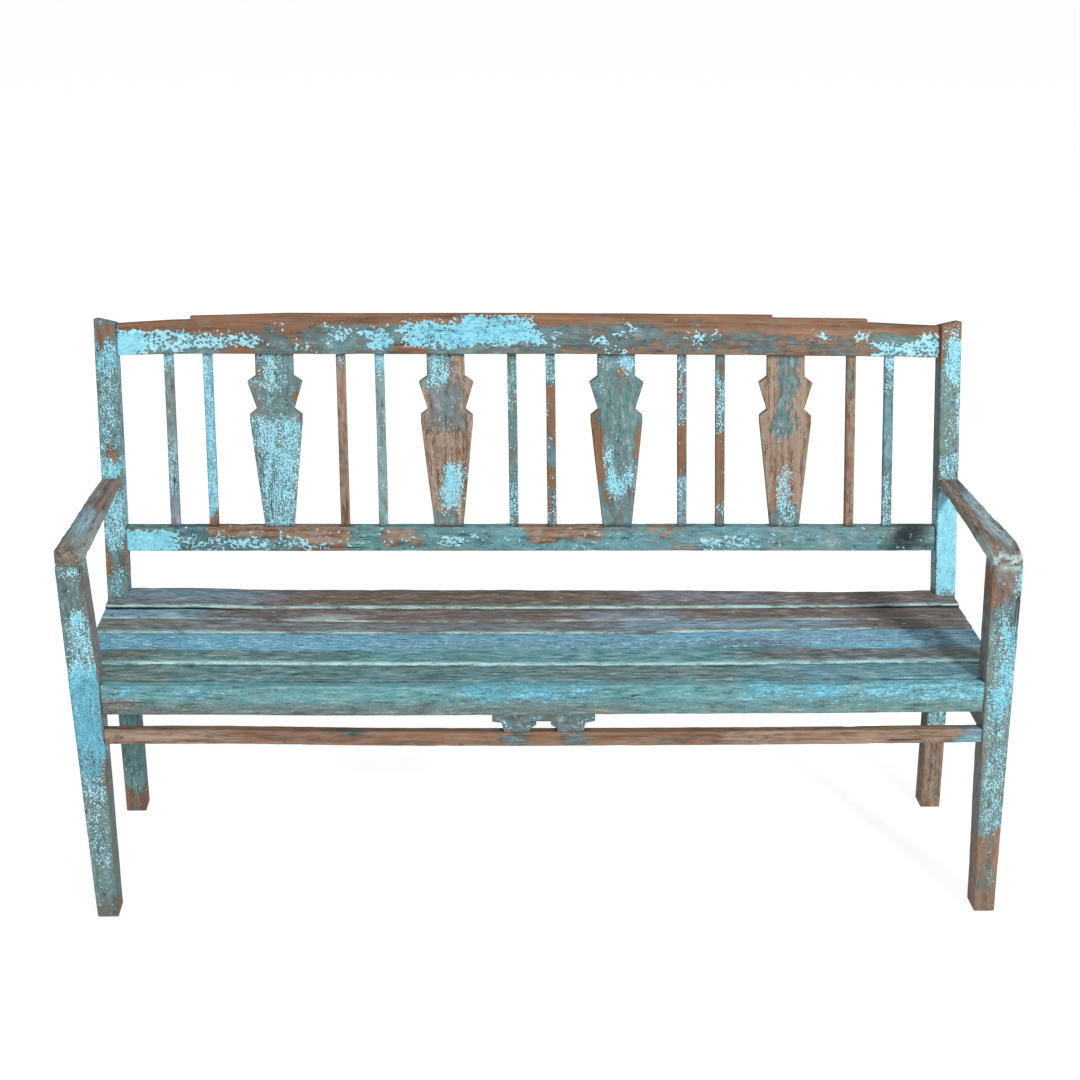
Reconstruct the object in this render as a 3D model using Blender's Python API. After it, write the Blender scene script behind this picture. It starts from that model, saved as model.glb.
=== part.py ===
"""A painted teak bench with a splat and spindle back, modelled piece by piece in metres.

The bench is first built square: +X to the right seen from the front, the front of the legs on y = 0 and the
floor on z = 0. Then the back is raked, the frame is racked sideways as the old bench is, and the origin moves
to the floor under the middle of the bench.
"""
import math

import bmesh
import bpy

# Overall sizes
WIDTH = 1.555
SEAT_TOP = 0.434
BACK_RAKE = math.radians(10.5)
FRAME_LEAN = 0.020

# Clearance between pieces that touch
FIT = 0.0003

# Front legs: each was worn to its own taper above and below the seat, and stands out a little past the posts
LEG_DEPTH = 0.046
LEG_TOP_WIDTH = {"left": 0.043, "right": 0.0505}
LEG_SEAT_WIDTH = {"left": 0.049, "right": 0.0475}
LEG_FOOT_WIDTH = {"left": 0.036, "right": 0.0357}
FRONT_SPREAD = 0.003
FOOT_INSET = 0.007
FOOT_DRIFT = 0.008

# Rear posts
POST_WIDTH = 0.0375
POST_DEPTH = 0.042
POST_RISE = 0.006

# Armrests
ARM_RISE = 0.236
ARM_FALL = 0.017
ARM_THICKNESS = 0.029
ARM_BACK_WIDTH = 0.035
ARM_OVERHANG = 0.002
ARM_NOSE_EASE = 0.004

# Seat
SLAT_WIDTHS = (0.055, 0.071, 0.062, 0.0595, 0.0485, 0.0995)
SLAT_THICKNESS = 0.018
SLAT_GAP = 0.002
SLAT_END_INSET = 0.003
SEAT_OVERHANG = 0.006
PEG_RADIUS = 0.004
PEG_DEPTH = 0.020
PEG_SIDES = 16

# Rails under the seat
APRON_HEIGHT = 0.053
APRON_THICKNESS = 0.018
APRON_SETBACK = 0.002
SEAT_RAIL_HEIGHT = 0.0897
SEAT_RAIL_THICKNESS = 0.026
SEAT_RAIL_INSET = 0.008
BEARER_WIDTH = 0.030
BEARER_HEIGHT = 0.028

# Front stretcher and the shaped bracket above it
STRETCHER_HEIGHT = 0.025
STRETCHER_THICKNESS = 0.020
BRACKET_HEIGHT = 0.031
BRACKET_THICKNESS = 0.014
BRACKET_HALF_WIDTH = 0.0855
BRACKET_BAND = 0.0115
LOBE_SHOULDER = 0.070
LOBE_OUTER = 0.0655
LOBE_INNER = 0.0232
LOBE_NOTCH = 0.0122
NOTCH_DROP = 0.0065
LOBE_FLARE = 0.0055
SHOULDER_RUN = 0.0025

# Back rails
BACK_SETBACK = 0.008
BACK_RAIL_THICKNESS = 0.023
LOWER_RAIL_RISE = 0.084
LOWER_RAIL_HEIGHT = 0.043
CREST_HEIGHT = 0.0745
CREST_STEP = 0.0055
EAR_STEP = 0.007
EAR_FALL = 0.0045
EAR_LENGTH = 0.1325
WORN_STEP_LENGTH = 0.172

# Splats and spindles
UPRIGHT_LENGTH = 0.3095
SPLAT_COUNT = 4
SPINDLE_INSET = 0.090
SPINDLE_SPACING = 0.0695
SPINDLE_WIDTH = 0.0165
SPINDLE_DEPTH = 0.014
SPLAT_THICKNESS = 0.014
NECK_LENGTH = 0.0405
SHOULDER_SLOPE = 0.0105
SHOULDER_TO_WAIST = 0.048
HIP_SLOPE = 0.0105
HIP_DROP = 0.012
NECK_WIDTH = 0.068
SHOULDER_WIDTH = 0.098
WAIST_WIDTH = 0.067
HIP_WIDTH = 0.094
SPLAT_FOOT_WIDTH = 0.053

# Tenons
TENON_LENGTH = 0.024
TENON_THICKNESS = 0.009
TENON_SHOULDER = 0.006
SHORT_TENON = 0.014
STUB_TENON = 0.008
BEARER_TENON = 0.006
BACK_TENON = 0.014
BACK_TENON_THICKNESS = 0.008
TENON_ROOT = 0.004

# Finishes: colour and roughness
FINISHES = {
    "turquoise_paint": ((0.25, 0.58, 0.66, 1.0), 0.62),
    "grey_teal_paint": ((0.16, 0.28, 0.28, 1.0), 0.72),
    "worn_teak": ((0.26, 0.15, 0.09, 1.0), 0.70),
    "seat_teak": ((0.21, 0.22, 0.21, 1.0), 0.75),
    "raw_teak": ((0.30, 0.18, 0.10, 1.0), 0.80),
}

SIDES = {"left": -1, "right": 1}

# Places that follow from the sizes
HALF_WIDTH = WIDTH / 2
APRON_BACK = APRON_SETBACK + APRON_THICKNESS
SEAT_BACK = APRON_BACK + sum(SLAT_WIDTHS) + SLAT_GAP * len(SLAT_WIDTHS)
POST_BACK = SEAT_BACK - SEAT_OVERHANG
POST_FRONT = POST_BACK - POST_DEPTH
POST_INNER = HALF_WIDTH - POST_WIDTH
SLAT_UNDERSIDE = SEAT_TOP - SLAT_THICKNESS
SEAT_RAIL_TOP = SLAT_UNDERSIDE - FIT
SEAT_RAIL_BOTTOM = SEAT_RAIL_TOP - SEAT_RAIL_HEIGHT
SEAT_RAIL_OUTER = HALF_WIDTH - SEAT_RAIL_INSET
SEAT_RAIL_INNER = SEAT_RAIL_OUTER - SEAT_RAIL_THICKNESS
SEAT_RAIL_CENTRE = (SEAT_RAIL_OUTER + SEAT_RAIL_INNER) / 2
APRON_BOTTOM = SEAT_TOP - APRON_HEIGHT
STRETCHER_TOP = APRON_BOTTOM - BRACKET_HEIGHT
STRETCHER_BOTTOM = STRETCHER_TOP - STRETCHER_HEIGHT
LOWER_RAIL_BOTTOM = SEAT_TOP + LOWER_RAIL_RISE
LOWER_RAIL_TOP = LOWER_RAIL_BOTTOM + LOWER_RAIL_HEIGHT
CREST_BOTTOM = LOWER_RAIL_TOP + UPRIGHT_LENGTH
CREST_TOP = CREST_BOTTOM + CREST_HEIGHT
SHOULDER_TOP = CREST_TOP - CREST_STEP
EAR_TOP = SHOULDER_TOP - EAR_STEP
EAR_END_TOP = EAR_TOP - EAR_FALL
POST_TOP = EAR_END_TOP + POST_RISE
BACK_FRONT = POST_FRONT + BACK_SETBACK
BACK_CENTRE = BACK_FRONT + BACK_RAIL_THICKNESS / 2
ARM_FRONT_TOP = SEAT_TOP + ARM_RISE
ARM_BACK_TOP = ARM_FRONT_TOP - ARM_FALL
ARM_SLOPE = ARM_FALL / POST_FRONT
ARM_UNDERSIDE = ARM_FRONT_TOP - ARM_THICKNESS
ARM_BACK_THICKNESS = ARM_THICKNESS - ARM_FALL
RAKE_SLOPE = math.tan(BACK_RAKE)


def clear_scene():
    """Remove whatever the file opened with."""
    for item in list(bpy.data.objects):
        bpy.data.objects.remove(item)


def finish_material(slot):
    """The material of a finish, made once and then shared."""
    found = bpy.data.materials.get(slot)
    if found:
        return found
    colour, roughness = FINISHES[slot]
    material = bpy.data.materials.new(slot)
    material.use_nodes = True
    shader = material.node_tree.nodes["Principled BSDF"]
    shader.inputs["Base Color"].default_value = colour
    shader.inputs["Roughness"].default_value = roughness
    shader.inputs["Metallic"].default_value = 0.0
    return material


def loft(name, rings, slot):
    """A closed solid through rings of equally many points, capped at both ends."""
    count = len(rings[0])
    corners = [corner for ring in rings for corner in ring]
    faces = [tuple(range(count))]
    for start in range(0, len(corners) - count, count):
        for index in range(count):
            following = (index + 1) % count
            faces.append((start + index, start + following, start + count + following, start + count + index))
    faces.append(tuple(range(len(corners) - count, len(corners))))
    mesh = bpy.data.meshes.new(name)
    mesh.from_pydata(corners, [], faces)
    face_outwards(mesh)
    mesh.materials.append(finish_material(slot))
    piece = bpy.data.objects.new(name, mesh)
    bpy.context.scene.collection.objects.link(piece)
    return piece


def face_outwards(mesh):
    """Turn every face of a closed mesh to point out."""
    working = bmesh.new()
    working.from_mesh(mesh)
    bmesh.ops.recalc_face_normals(working, faces=working.faces)
    working.to_mesh(mesh)
    working.free()


def section_across_x(x_at, y_span, z_span):
    """Four corners of a section across X, where x_at gives the section's x at a height."""
    low, high = z_span
    front, back = y_span
    return [(x_at(low), front, low), (x_at(low), back, low), (x_at(high), back, high), (x_at(high), front, high)]


def section_across_y(y, x_span, z_span):
    """Four corners of a section across Y."""
    return [(x_span[0], y, z_span[0]), (x_span[1], y, z_span[0]),
            (x_span[1], y, z_span[1]), (x_span[0], y, z_span[1])]


def section_across_z(z, x_span, y_span):
    """Four corners of a section across Z."""
    return [(x_span[0], y_span[0], z), (x_span[1], y_span[0], z),
            (x_span[1], y_span[1], z), (x_span[0], y_span[1], z)]


def block(name, x_span, y_span, z_span, slot):
    """A plain rectangular piece."""
    return loft(name, [section_across_z(z, x_span, y_span) for z in z_span], slot)


def around(centre, size):
    """The span of a size laid evenly about a centre."""
    return (centre - size / 2, centre + size / 2)


def grown(span, amount):
    """A span made wider by an amount at both ends."""
    low, high = sorted(span)
    return (low - amount, high + amount)


def combine(target, tool, operation):
    """Add a tool to a piece, or cut it away, and remove the tool."""
    modifier = target.modifiers.new("combine", 'BOOLEAN')
    modifier.operation = operation
    modifier.solver = 'EXACT'
    modifier.object = tool
    bpy.context.view_layer.objects.active = target
    bpy.ops.object.modifier_apply(modifier=modifier.name)
    bpy.data.objects.remove(tool)


def cut_box(target, x_span, y_span, z_span):
    """Cut a rectangular hole or notch."""
    combine(target, block("cutter", x_span, y_span, z_span, "raw_teak"), 'DIFFERENCE')


def tenon(piece, receiver, x_span, y_span, z_span):
    """Put a tenon on a piece and its mortise, wider by the clearance, in the receiver."""
    combine(piece, block("tenon", x_span, y_span, z_span, "raw_teak"), 'UNION')
    cut_box(receiver, grown(x_span, FIT), grown(y_span, FIT), grown(z_span, FIT))


def leg_outer(side, z):
    """The outer face of a front leg at a height: it draws in and drifts sideways towards the foot."""
    share = 1 - z / ARM_UNDERSIDE
    return SIDES[side] * (HALF_WIDTH + FRONT_SPREAD - FOOT_INSET * share) + FOOT_DRIFT * share


def leg_inner(side, z):
    """The inner face of a front leg at a height: one taper up from the foot to the seat, another above it."""
    if z <= SEAT_TOP:
        share = z / SEAT_TOP
        width = LEG_FOOT_WIDTH[side] + (LEG_SEAT_WIDTH[side] - LEG_FOOT_WIDTH[side]) * share
    else:
        share = (z - SEAT_TOP) / (ARM_UNDERSIDE - SEAT_TOP)
        width = LEG_SEAT_WIDTH[side] + (LEG_TOP_WIDTH[side] - LEG_SEAT_WIDTH[side]) * share
    return leg_outer(side, z) - SIDES[side] * width


def make_front_leg(side):
    """A front leg, tapered both ways from the seat, with its top under the armrest."""
    rings = [section_across_z(z, (leg_outer(side, z), leg_inner(side, z)), (0, LEG_DEPTH))
             for z in (0, SEAT_TOP, ARM_UNDERSIDE - FIT)]
    return loft("front_leg_" + side, rings, "turquoise_paint")


def make_rear_post(side):
    """A rear leg and back post in one length, with a ring at the seat where the rake begins."""
    x_span = (SIDES[side] * POST_INNER, SIDES[side] * HALF_WIDTH)
    rings = [section_across_z(z, x_span, (POST_FRONT, POST_BACK)) for z in (0, SEAT_TOP, POST_TOP)]
    return loft("rear_post_" + side, rings, "turquoise_paint")


def make_armrest(side, leg, post):
    """An armrest on the leg's top tenon, tenoned into the post: level below, falling and narrowing to the back."""
    sign = SIDES[side]
    front_width = LEG_TOP_WIDTH[side]
    back_end = POST_FRONT - FIT

    def section(y, width, ease):
        top = ARM_FRONT_TOP - ARM_SLOPE * y
        outer = HALF_WIDTH + FRONT_SPREAD * (1 - y / back_end)
        x_span = (sign * (outer - width + ease), sign * (outer - ease))
        return section_across_y(y, x_span, (ARM_UNDERSIDE + ease, top - ease))

    rings = [section(-ARM_OVERHANG, front_width, ARM_NOSE_EASE),
             section(ARM_NOSE_EASE - ARM_OVERHANG, front_width, 0),
             section(LEG_DEPTH, front_width, 0),
             section(back_end, ARM_BACK_WIDTH, 0)]
    arm = loft("armrest_" + side, rings, "worn_teak")

    leg_centre = (leg_outer(side, ARM_UNDERSIDE) + leg_inner(side, ARM_UNDERSIDE)) / 2
    tenon_side = LEG_DEPTH - 4 * TENON_SHOULDER
    tenon_z = (ARM_UNDERSIDE - TENON_ROOT, ARM_UNDERSIDE + SHORT_TENON)
    tenon(leg, arm, around(leg_centre, tenon_side), around(LEG_DEPTH / 2, tenon_side), tenon_z)

    arm_centre = sign * (HALF_WIDTH - ARM_BACK_WIDTH / 2)
    back_middle = ARM_BACK_TOP - ARM_BACK_THICKNESS / 2
    tenon(arm, post, around(arm_centre, ARM_BACK_WIDTH - 2 * TENON_SHOULDER),
          (back_end - TENON_ROOT, POST_FRONT + SHORT_TENON),
          around(back_middle, ARM_BACK_THICKNESS - TENON_SHOULDER))
    return arm


def make_cross_rail(name, face_at, uprights, y_span, z_span, slot):
    """A rail between two uprights along X; face_at gives an upright's inner face at a height."""
    def end(side):
        return lambda z: face_at(side, z) - SIDES[side] * FIT

    rings = [section_across_x(end(side), y_span, z_span) for side in SIDES]
    rail = loft(name, rings, slot)
    middle = sum(z_span) / 2
    for side, upright in uprights.items():
        face = face_at(side, middle)
        x_span = sorted((face - SIDES[side] * TENON_ROOT, face + SIDES[side] * TENON_LENGTH))
        tenon(rail, upright, x_span, around(sum(y_span) / 2, TENON_THICKNESS), grown(z_span, -TENON_SHOULDER))
    return rail


def post_face(side, z):
    """The inner face of a rear post, the same at every height before the frame is racked."""
    return SIDES[side] * POST_INNER


def make_crest(posts):
    """The crest rail: a raised middle, a lower ear at each end and one more step on the right."""
    end = POST_INNER - FIT
    ear = POST_INNER - EAR_LENGTH
    worn = ear - WORN_STEP_LENGTH
    profile = [(-end, EAR_END_TOP), (-ear - FIT, EAR_TOP), (-ear, SHOULDER_TOP), (-worn, CREST_TOP),
               (worn, CREST_TOP), (worn + FIT, SHOULDER_TOP), (ear, SHOULDER_TOP), (ear + FIT, EAR_TOP),
               (end, EAR_END_TOP)]
    y_span = (BACK_FRONT, BACK_FRONT + BACK_RAIL_THICKNESS)

    def section(x, top):
        return section_across_x(lambda z: x, y_span, (CREST_BOTTOM, top))

    crest = loft("crest_rail", [section(x, top) for x, top in profile], "turquoise_paint")
    tenon_z = grown((CREST_BOTTOM, EAR_END_TOP), -TENON_SHOULDER)
    for side, post in posts.items():
        face = post_face(side, CREST_BOTTOM)
        x_span = sorted((face - SIDES[side] * TENON_ROOT, face + SIDES[side] * TENON_LENGTH))
        tenon(crest, post, x_span, around(BACK_CENTRE, TENON_THICKNESS), tenon_z)
    return crest


def make_upright(name, centre, outline, thickness, tenon_widths, rails, slot):
    """A splat or spindle: sections down an outline of (height, width), tenoned into both back rails."""
    y_span = around(BACK_CENTRE, thickness)
    rings = [section_across_z(z, around(centre, width), y_span) for z, width in outline]
    upright = loft(name, rings, slot)
    crest, lower_rail = rails
    top_width, foot_width = tenon_widths
    tenon_y = around(BACK_CENTRE, BACK_TENON_THICKNESS)
    tenon(upright, crest, around(centre, top_width), tenon_y,
          (CREST_BOTTOM - FIT - TENON_ROOT, CREST_BOTTOM + BACK_TENON))
    tenon(upright, lower_rail, around(centre, foot_width), tenon_y,
          (LOWER_RAIL_TOP - BACK_TENON, LOWER_RAIL_TOP + FIT + TENON_ROOT))
    return upright


def splat_outline():
    """Heights and widths of a splat: neck, sloping shoulder, waist, hip and a long taper."""
    neck_end = CREST_BOTTOM - NECK_LENGTH
    shoulder = neck_end - SHOULDER_SLOPE
    waist = shoulder - SHOULDER_TO_WAIST
    hip = waist - HIP_SLOPE
    return [(CREST_BOTTOM - FIT, NECK_WIDTH), (neck_end, NECK_WIDTH), (shoulder, SHOULDER_WIDTH),
            (waist, WAIST_WIDTH), (hip, HIP_WIDTH), (hip - HIP_DROP, HIP_WIDTH),
            (LOWER_RAIL_TOP + FIT, SPLAT_FOOT_WIDTH)]


def make_back_uprights(rails):
    """Pairs of spindles with a splat between each two pairs."""
    first_pair = SPINDLE_INSET + SPINDLE_SPACING / 2 - POST_INNER
    pitch = -2 * first_pair / SPLAT_COUNT
    spindle_tenon = SPINDLE_WIDTH - TENON_SHOULDER
    spindle = [(CREST_BOTTOM - FIT, SPINDLE_WIDTH), (LOWER_RAIL_TOP + FIT, SPINDLE_WIDTH)]
    pieces = []
    for pair in range(SPLAT_COUNT + 1):
        for place, offset in enumerate(around(0, SPINDLE_SPACING)):
            name = "back_spindle_%02d" % (2 * pair + place + 1)
            pieces.append(make_upright(name, first_pair + pair * pitch + offset, spindle, SPINDLE_DEPTH,
                                       (spindle_tenon, spindle_tenon), rails, "grey_teal_paint"))
    splat_tenons = (NECK_WIDTH - 2 * TENON_SHOULDER, SPLAT_FOOT_WIDTH - 2 * TENON_SHOULDER)
    for number in range(SPLAT_COUNT):
        centre = first_pair + (number + 0.5) * pitch
        pieces.append(make_upright("back_splat_%d" % (number + 1), centre, splat_outline(), SPLAT_THICKNESS,
                                   splat_tenons, rails, "worn_teak"))
    return pieces


def make_side_rail(side, leg, post):
    """A seat rail from front leg to rear post, which carries the slat ends."""
    x_span = sorted((SIDES[side] * SEAT_RAIL_INNER, SIDES[side] * SEAT_RAIL_OUTER))
    z_span = (SEAT_RAIL_BOTTOM, SEAT_RAIL_TOP)
    rail = block("side_seat_rail_" + side, x_span, (LEG_DEPTH + FIT, POST_FRONT - FIT), z_span, "raw_teak")
    tenon_x = around(SIDES[side] * SEAT_RAIL_CENTRE, TENON_THICKNESS)
    tenon_z = grown(z_span, -TENON_SHOULDER)
    tenon(rail, leg, tenon_x, (LEG_DEPTH - SHORT_TENON, LEG_DEPTH + TENON_ROOT), tenon_z)
    tenon(rail, post, tenon_x, (POST_FRONT - TENON_ROOT, POST_FRONT + SHORT_TENON), tenon_z)
    return rail


def make_bearer(apron, rear_rail):
    """The middle bearer under the slats, tenoned into the apron and the rear rail."""
    rear_face = POST_BACK - SEAT_RAIL_THICKNESS
    z_span = (SEAT_RAIL_TOP - BEARER_HEIGHT, SEAT_RAIL_TOP)
    bearer = block("seat_bearer", around(0, BEARER_WIDTH), (APRON_BACK + FIT, rear_face - FIT), z_span, "raw_teak")
    tenon_x = around(0, TENON_THICKNESS)
    tenon_z = grown(z_span, -TENON_SHOULDER)
    tenon(bearer, apron, tenon_x, (APRON_BACK - BEARER_TENON, APRON_BACK + TENON_ROOT), tenon_z)
    tenon(bearer, rear_rail, tenon_x, (rear_face - TENON_ROOT, rear_face + BEARER_TENON), tenon_z)
    return bearer


def make_bracket(apron, stretcher):
    """The shaped bracket between apron and stretcher: a band with two lobes and a notch between them."""
    top = APRON_BOTTOM - FIT
    band = APRON_BOTTOM - BRACKET_BAND
    foot = STRETCHER_TOP + FIT
    half = [(BRACKET_HALF_WIDTH, top), (BRACKET_HALF_WIDTH, band), (LOBE_SHOULDER, band - SHOULDER_RUN),
            (LOBE_OUTER, foot), (LOBE_INNER, foot), (LOBE_INNER, foot + LOBE_FLARE),
            (LOBE_NOTCH, band - NOTCH_DROP), (LOBE_NOTCH, band)]
    outline = half + [(-x, z) for x, z in reversed(half)]
    front = APRON_SETBACK
    rings = [[(x, y, z) for x, z in outline] for y in (front, front + BRACKET_THICKNESS)]
    bracket = loft("stretcher_bracket", rings, "grey_teal_paint")
    tenon_y = around(front + BRACKET_THICKNESS / 2, BACK_TENON_THICKNESS)
    tenon(bracket, apron, around(0, 2 * LOBE_SHOULDER), tenon_y, (top - TENON_ROOT, top + STUB_TENON))
    for sign in SIDES.values():
        lobe_centre = sign * (LOBE_OUTER + LOBE_INNER) / 2
        lobe_width = LOBE_OUTER - LOBE_INNER - 2 * TENON_SHOULDER
        tenon(bracket, stretcher, around(lobe_centre, lobe_width), tenon_y, (foot - STUB_TENON, foot + TENON_ROOT))
    return bracket


def slat_spans():
    """Front and back edge of each slat, from the front one to the back one."""
    spans = []
    front = APRON_BACK + SLAT_GAP
    for width in SLAT_WIDTHS:
        spans.append((front, front + width))
        front += width + SLAT_GAP
    return spans


def make_slats():
    """Seat slats that run out over the side rails, notched round the legs and posts they meet."""
    end = HALF_WIDTH - SLAT_END_INSET
    slats = []
    for number, y_span in enumerate(slat_spans(), start=1):
        slat = block("seat_slat_%d" % number, (-end, end), y_span, (SLAT_UNDERSIDE, SEAT_TOP), "seat_teak")
        for side in SIDES:
            if y_span[0] < LEG_DEPTH + FIT:
                notch(slat, side, leg_inner, (y_span[0] - FIT, LEG_DEPTH + FIT))
            if y_span[1] > POST_FRONT - FIT:
                notch(slat, side, post_face, (POST_FRONT - FIT, y_span[1] + FIT))
        slats.append(slat)
    return slats


def notch(slat, side, face_at, y_span):
    """Cut the end of a slat back to the inner face of an upright."""
    sign = SIDES[side]
    innermost = min(sign * face_at(side, z) for z in (SLAT_UNDERSIDE, SEAT_TOP)) - FIT
    x_span = sorted((sign * innermost, sign * (HALF_WIDTH + FIT)))
    cut_box(slat, x_span, y_span, grown((SLAT_UNDERSIDE, SEAT_TOP), FIT))


def peg_body(name, x, y, radius, z_span):
    """A round peg, or the hole for one."""
    turns = [2 * math.pi * step / PEG_SIDES for step in range(PEG_SIDES)]
    circle = [(x + radius * math.cos(turn), y + radius * math.sin(turn)) for turn in turns]
    return loft(name, [[(px, py, z) for px, py in circle] for z in z_span], "raw_teak")


def make_slat_pegs(slats, rails):
    """A peg through each slat end into the side rail below it."""
    pegs = []
    z_span = (SEAT_RAIL_TOP - PEG_DEPTH, SEAT_TOP)
    for slat, y_span in zip(slats, slat_spans()):
        seat_from = max(y_span[0], LEG_DEPTH + FIT)
        seat_to = min(y_span[1], POST_FRONT - FIT)
        y = (seat_from + seat_to) / 2
        for side, rail in rails.items():
            x = SIDES[side] * SEAT_RAIL_CENTRE
            for holed in (slat, rail):
                combine(holed, peg_body("drill", x, y, PEG_RADIUS + FIT, grown(z_span, FIT)), 'DIFFERENCE')
            pegs.append(peg_body("slat_peg_%s_%s" % (slat.name[-1], side), x, y, PEG_RADIUS, z_span))
    return pegs


def rake_back(piece, from_y):
    """Tilt back the part of a piece that lies above the seat and behind a given y."""
    for vertex in piece.data.vertices:
        if vertex.co.z > SEAT_TOP and vertex.co.y > from_y:
            vertex.co.y += RAKE_SLOPE * (vertex.co.z - SEAT_TOP)


def rack_and_centre(pieces):
    """Lean the frame sideways and put the origin on the floor under the middle of the bench."""
    points = [vertex.co for piece in pieces for vertex in piece.data.vertices]
    for point in points:
        point.x -= FRAME_LEAN * point.z
    middle_x = (min(point.x for point in points) + max(point.x for point in points)) / 2
    middle_y = (min(point.y for point in points) + max(point.y for point in points)) / 2
    for point in points:
        point.x -= middle_x
        point.y -= middle_y


def build_bench():
    """Make every piece and joint, then rake, rack and centre the bench."""
    clear_scene()
    legs = {side: make_front_leg(side) for side in SIDES}
    posts = {side: make_rear_post(side) for side in SIDES}
    arms = {side: make_armrest(side, legs[side], posts[side]) for side in SIDES}

    crest = make_crest(posts)
    lower_rail = make_cross_rail("lower_back_rail", post_face, posts,
                                 (BACK_FRONT, BACK_FRONT + BACK_RAIL_THICKNESS),
                                 (LOWER_RAIL_BOTTOM, LOWER_RAIL_TOP), "turquoise_paint")
    uprights = make_back_uprights((crest, lower_rail))

    apron = make_cross_rail("front_apron", leg_inner, legs, (APRON_SETBACK, APRON_BACK),
                            (APRON_BOTTOM, SEAT_TOP), "grey_teal_paint")
    stretcher = make_cross_rail("front_stretcher", leg_inner, legs,
                                (APRON_SETBACK, APRON_SETBACK + STRETCHER_THICKNESS),
                                (STRETCHER_BOTTOM, STRETCHER_TOP), "worn_teak")
    rear_rail = make_cross_rail("rear_seat_rail", post_face, posts,
                                (POST_BACK - SEAT_RAIL_THICKNESS, POST_BACK),
                                (SEAT_RAIL_BOTTOM, SEAT_RAIL_TOP), "raw_teak")
    side_rails = {side: make_side_rail(side, legs[side], posts[side]) for side in SIDES}
    bearer = make_bearer(apron, rear_rail)
    bracket = make_bracket(apron, stretcher)
    slats = make_slats()
    pegs = make_slat_pegs(slats, side_rails)

    for piece in [*posts.values(), crest, lower_rail, *uprights]:
        rake_back(piece, -math.inf)
    for arm in arms.values():
        rake_back(arm, POST_FRONT - 2 * FIT)
    base = [apron, stretcher, rear_rail, bearer, bracket, crest, lower_rail]
    rack_and_centre([*legs.values(), *posts.values(), *arms.values(), *side_rails.values(),
                     *uprights, *slats, *pegs, *base])


build_bench()
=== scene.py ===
"""The looks of a worn, painted teak bench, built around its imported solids.

Each solid is replaced by a length of wood with rubbed edges. It is made square, then leaned and raked as the
solids are. Old paint lies on it in patches: bare teak, a faded undercoat and a crackled turquoise top coat.
"""
import math
from collections import namedtuple

import bpy
import numpy as np
from mathutils import Matrix, Vector, noise


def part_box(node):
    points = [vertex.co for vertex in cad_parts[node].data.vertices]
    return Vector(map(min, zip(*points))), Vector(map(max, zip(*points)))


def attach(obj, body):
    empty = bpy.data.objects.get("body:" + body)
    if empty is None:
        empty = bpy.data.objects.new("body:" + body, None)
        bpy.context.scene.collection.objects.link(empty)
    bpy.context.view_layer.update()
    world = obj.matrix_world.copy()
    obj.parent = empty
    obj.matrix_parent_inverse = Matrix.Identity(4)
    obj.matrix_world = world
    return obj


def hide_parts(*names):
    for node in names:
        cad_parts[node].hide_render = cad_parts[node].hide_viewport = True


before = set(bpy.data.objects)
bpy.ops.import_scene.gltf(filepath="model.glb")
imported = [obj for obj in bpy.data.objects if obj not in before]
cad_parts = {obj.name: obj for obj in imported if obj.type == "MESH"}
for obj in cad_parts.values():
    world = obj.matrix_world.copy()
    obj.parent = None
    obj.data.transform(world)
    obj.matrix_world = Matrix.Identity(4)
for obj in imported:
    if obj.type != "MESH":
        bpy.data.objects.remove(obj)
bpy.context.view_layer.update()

# Camera: the photograph's viewing angle, with places in metres, angles in radians and picture sizes in pixels
PICTURE_SIDE = 1080
FOCAL_LENGTH = 1897
OPTICAL_CENTRE = (516.2, 542.6)
CAMERA_PLACE = Vector((-0.1458, -3.101, 1.732))
CAMERA_YAW = 0.0340
CAMERA_PITCH = 0.3530
CAMERA_ROLL = 0.0113
SENSOR_WIDTH = 36.0

# Light: the place, size and power of each lamp, and how the white floor takes and gives light
LAMPS = {
    "key_light": (Vector((3.1, -6.35, 4.25)), 0.8, 415),
    "fill_light": (Vector((-3.2, -4.6, 3.4)), 2.4, 30),
    "top_light": (Vector((0.0, -0.8, 4.0)), 3.0, 24),
}
WORLD_STRENGTH = 0.34
LIGHT_TARGET = Vector((0.0, 0.0, 0.5))
FLOOR_SIZE = 60.0
FLOOR_WHITE = 0.86
FLOOR_SEEN = 0.45
FLOOR_GLOW = 0.83
WHITE = (1.0, 1.0, 1.0, 1.0)

# Mesh spacing; the steps at rounded ends and at the nose of an armrest are shares of the rounding
STATION_SPACING = 0.008
FACE_SPACING = 0.011
EDGE_SUPPORT = 0.0016
EDGE_SUPPORT_SHARE = 0.25
ARC_STEPS = 2
END_STEPS = (0.0, 0.12, 0.45, 1.6)
NOSE_STEPS = (0.1, 0.25, 0.5, 0.75, 1.0)
PEG_SIDES = 20
SHARP_ANGLE = math.radians(52)
JOINT_OVERLAP = 0.0015
SAME = 0.0001
SAME_DIGITS = 4
PLACE_DIGITS = 6

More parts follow.
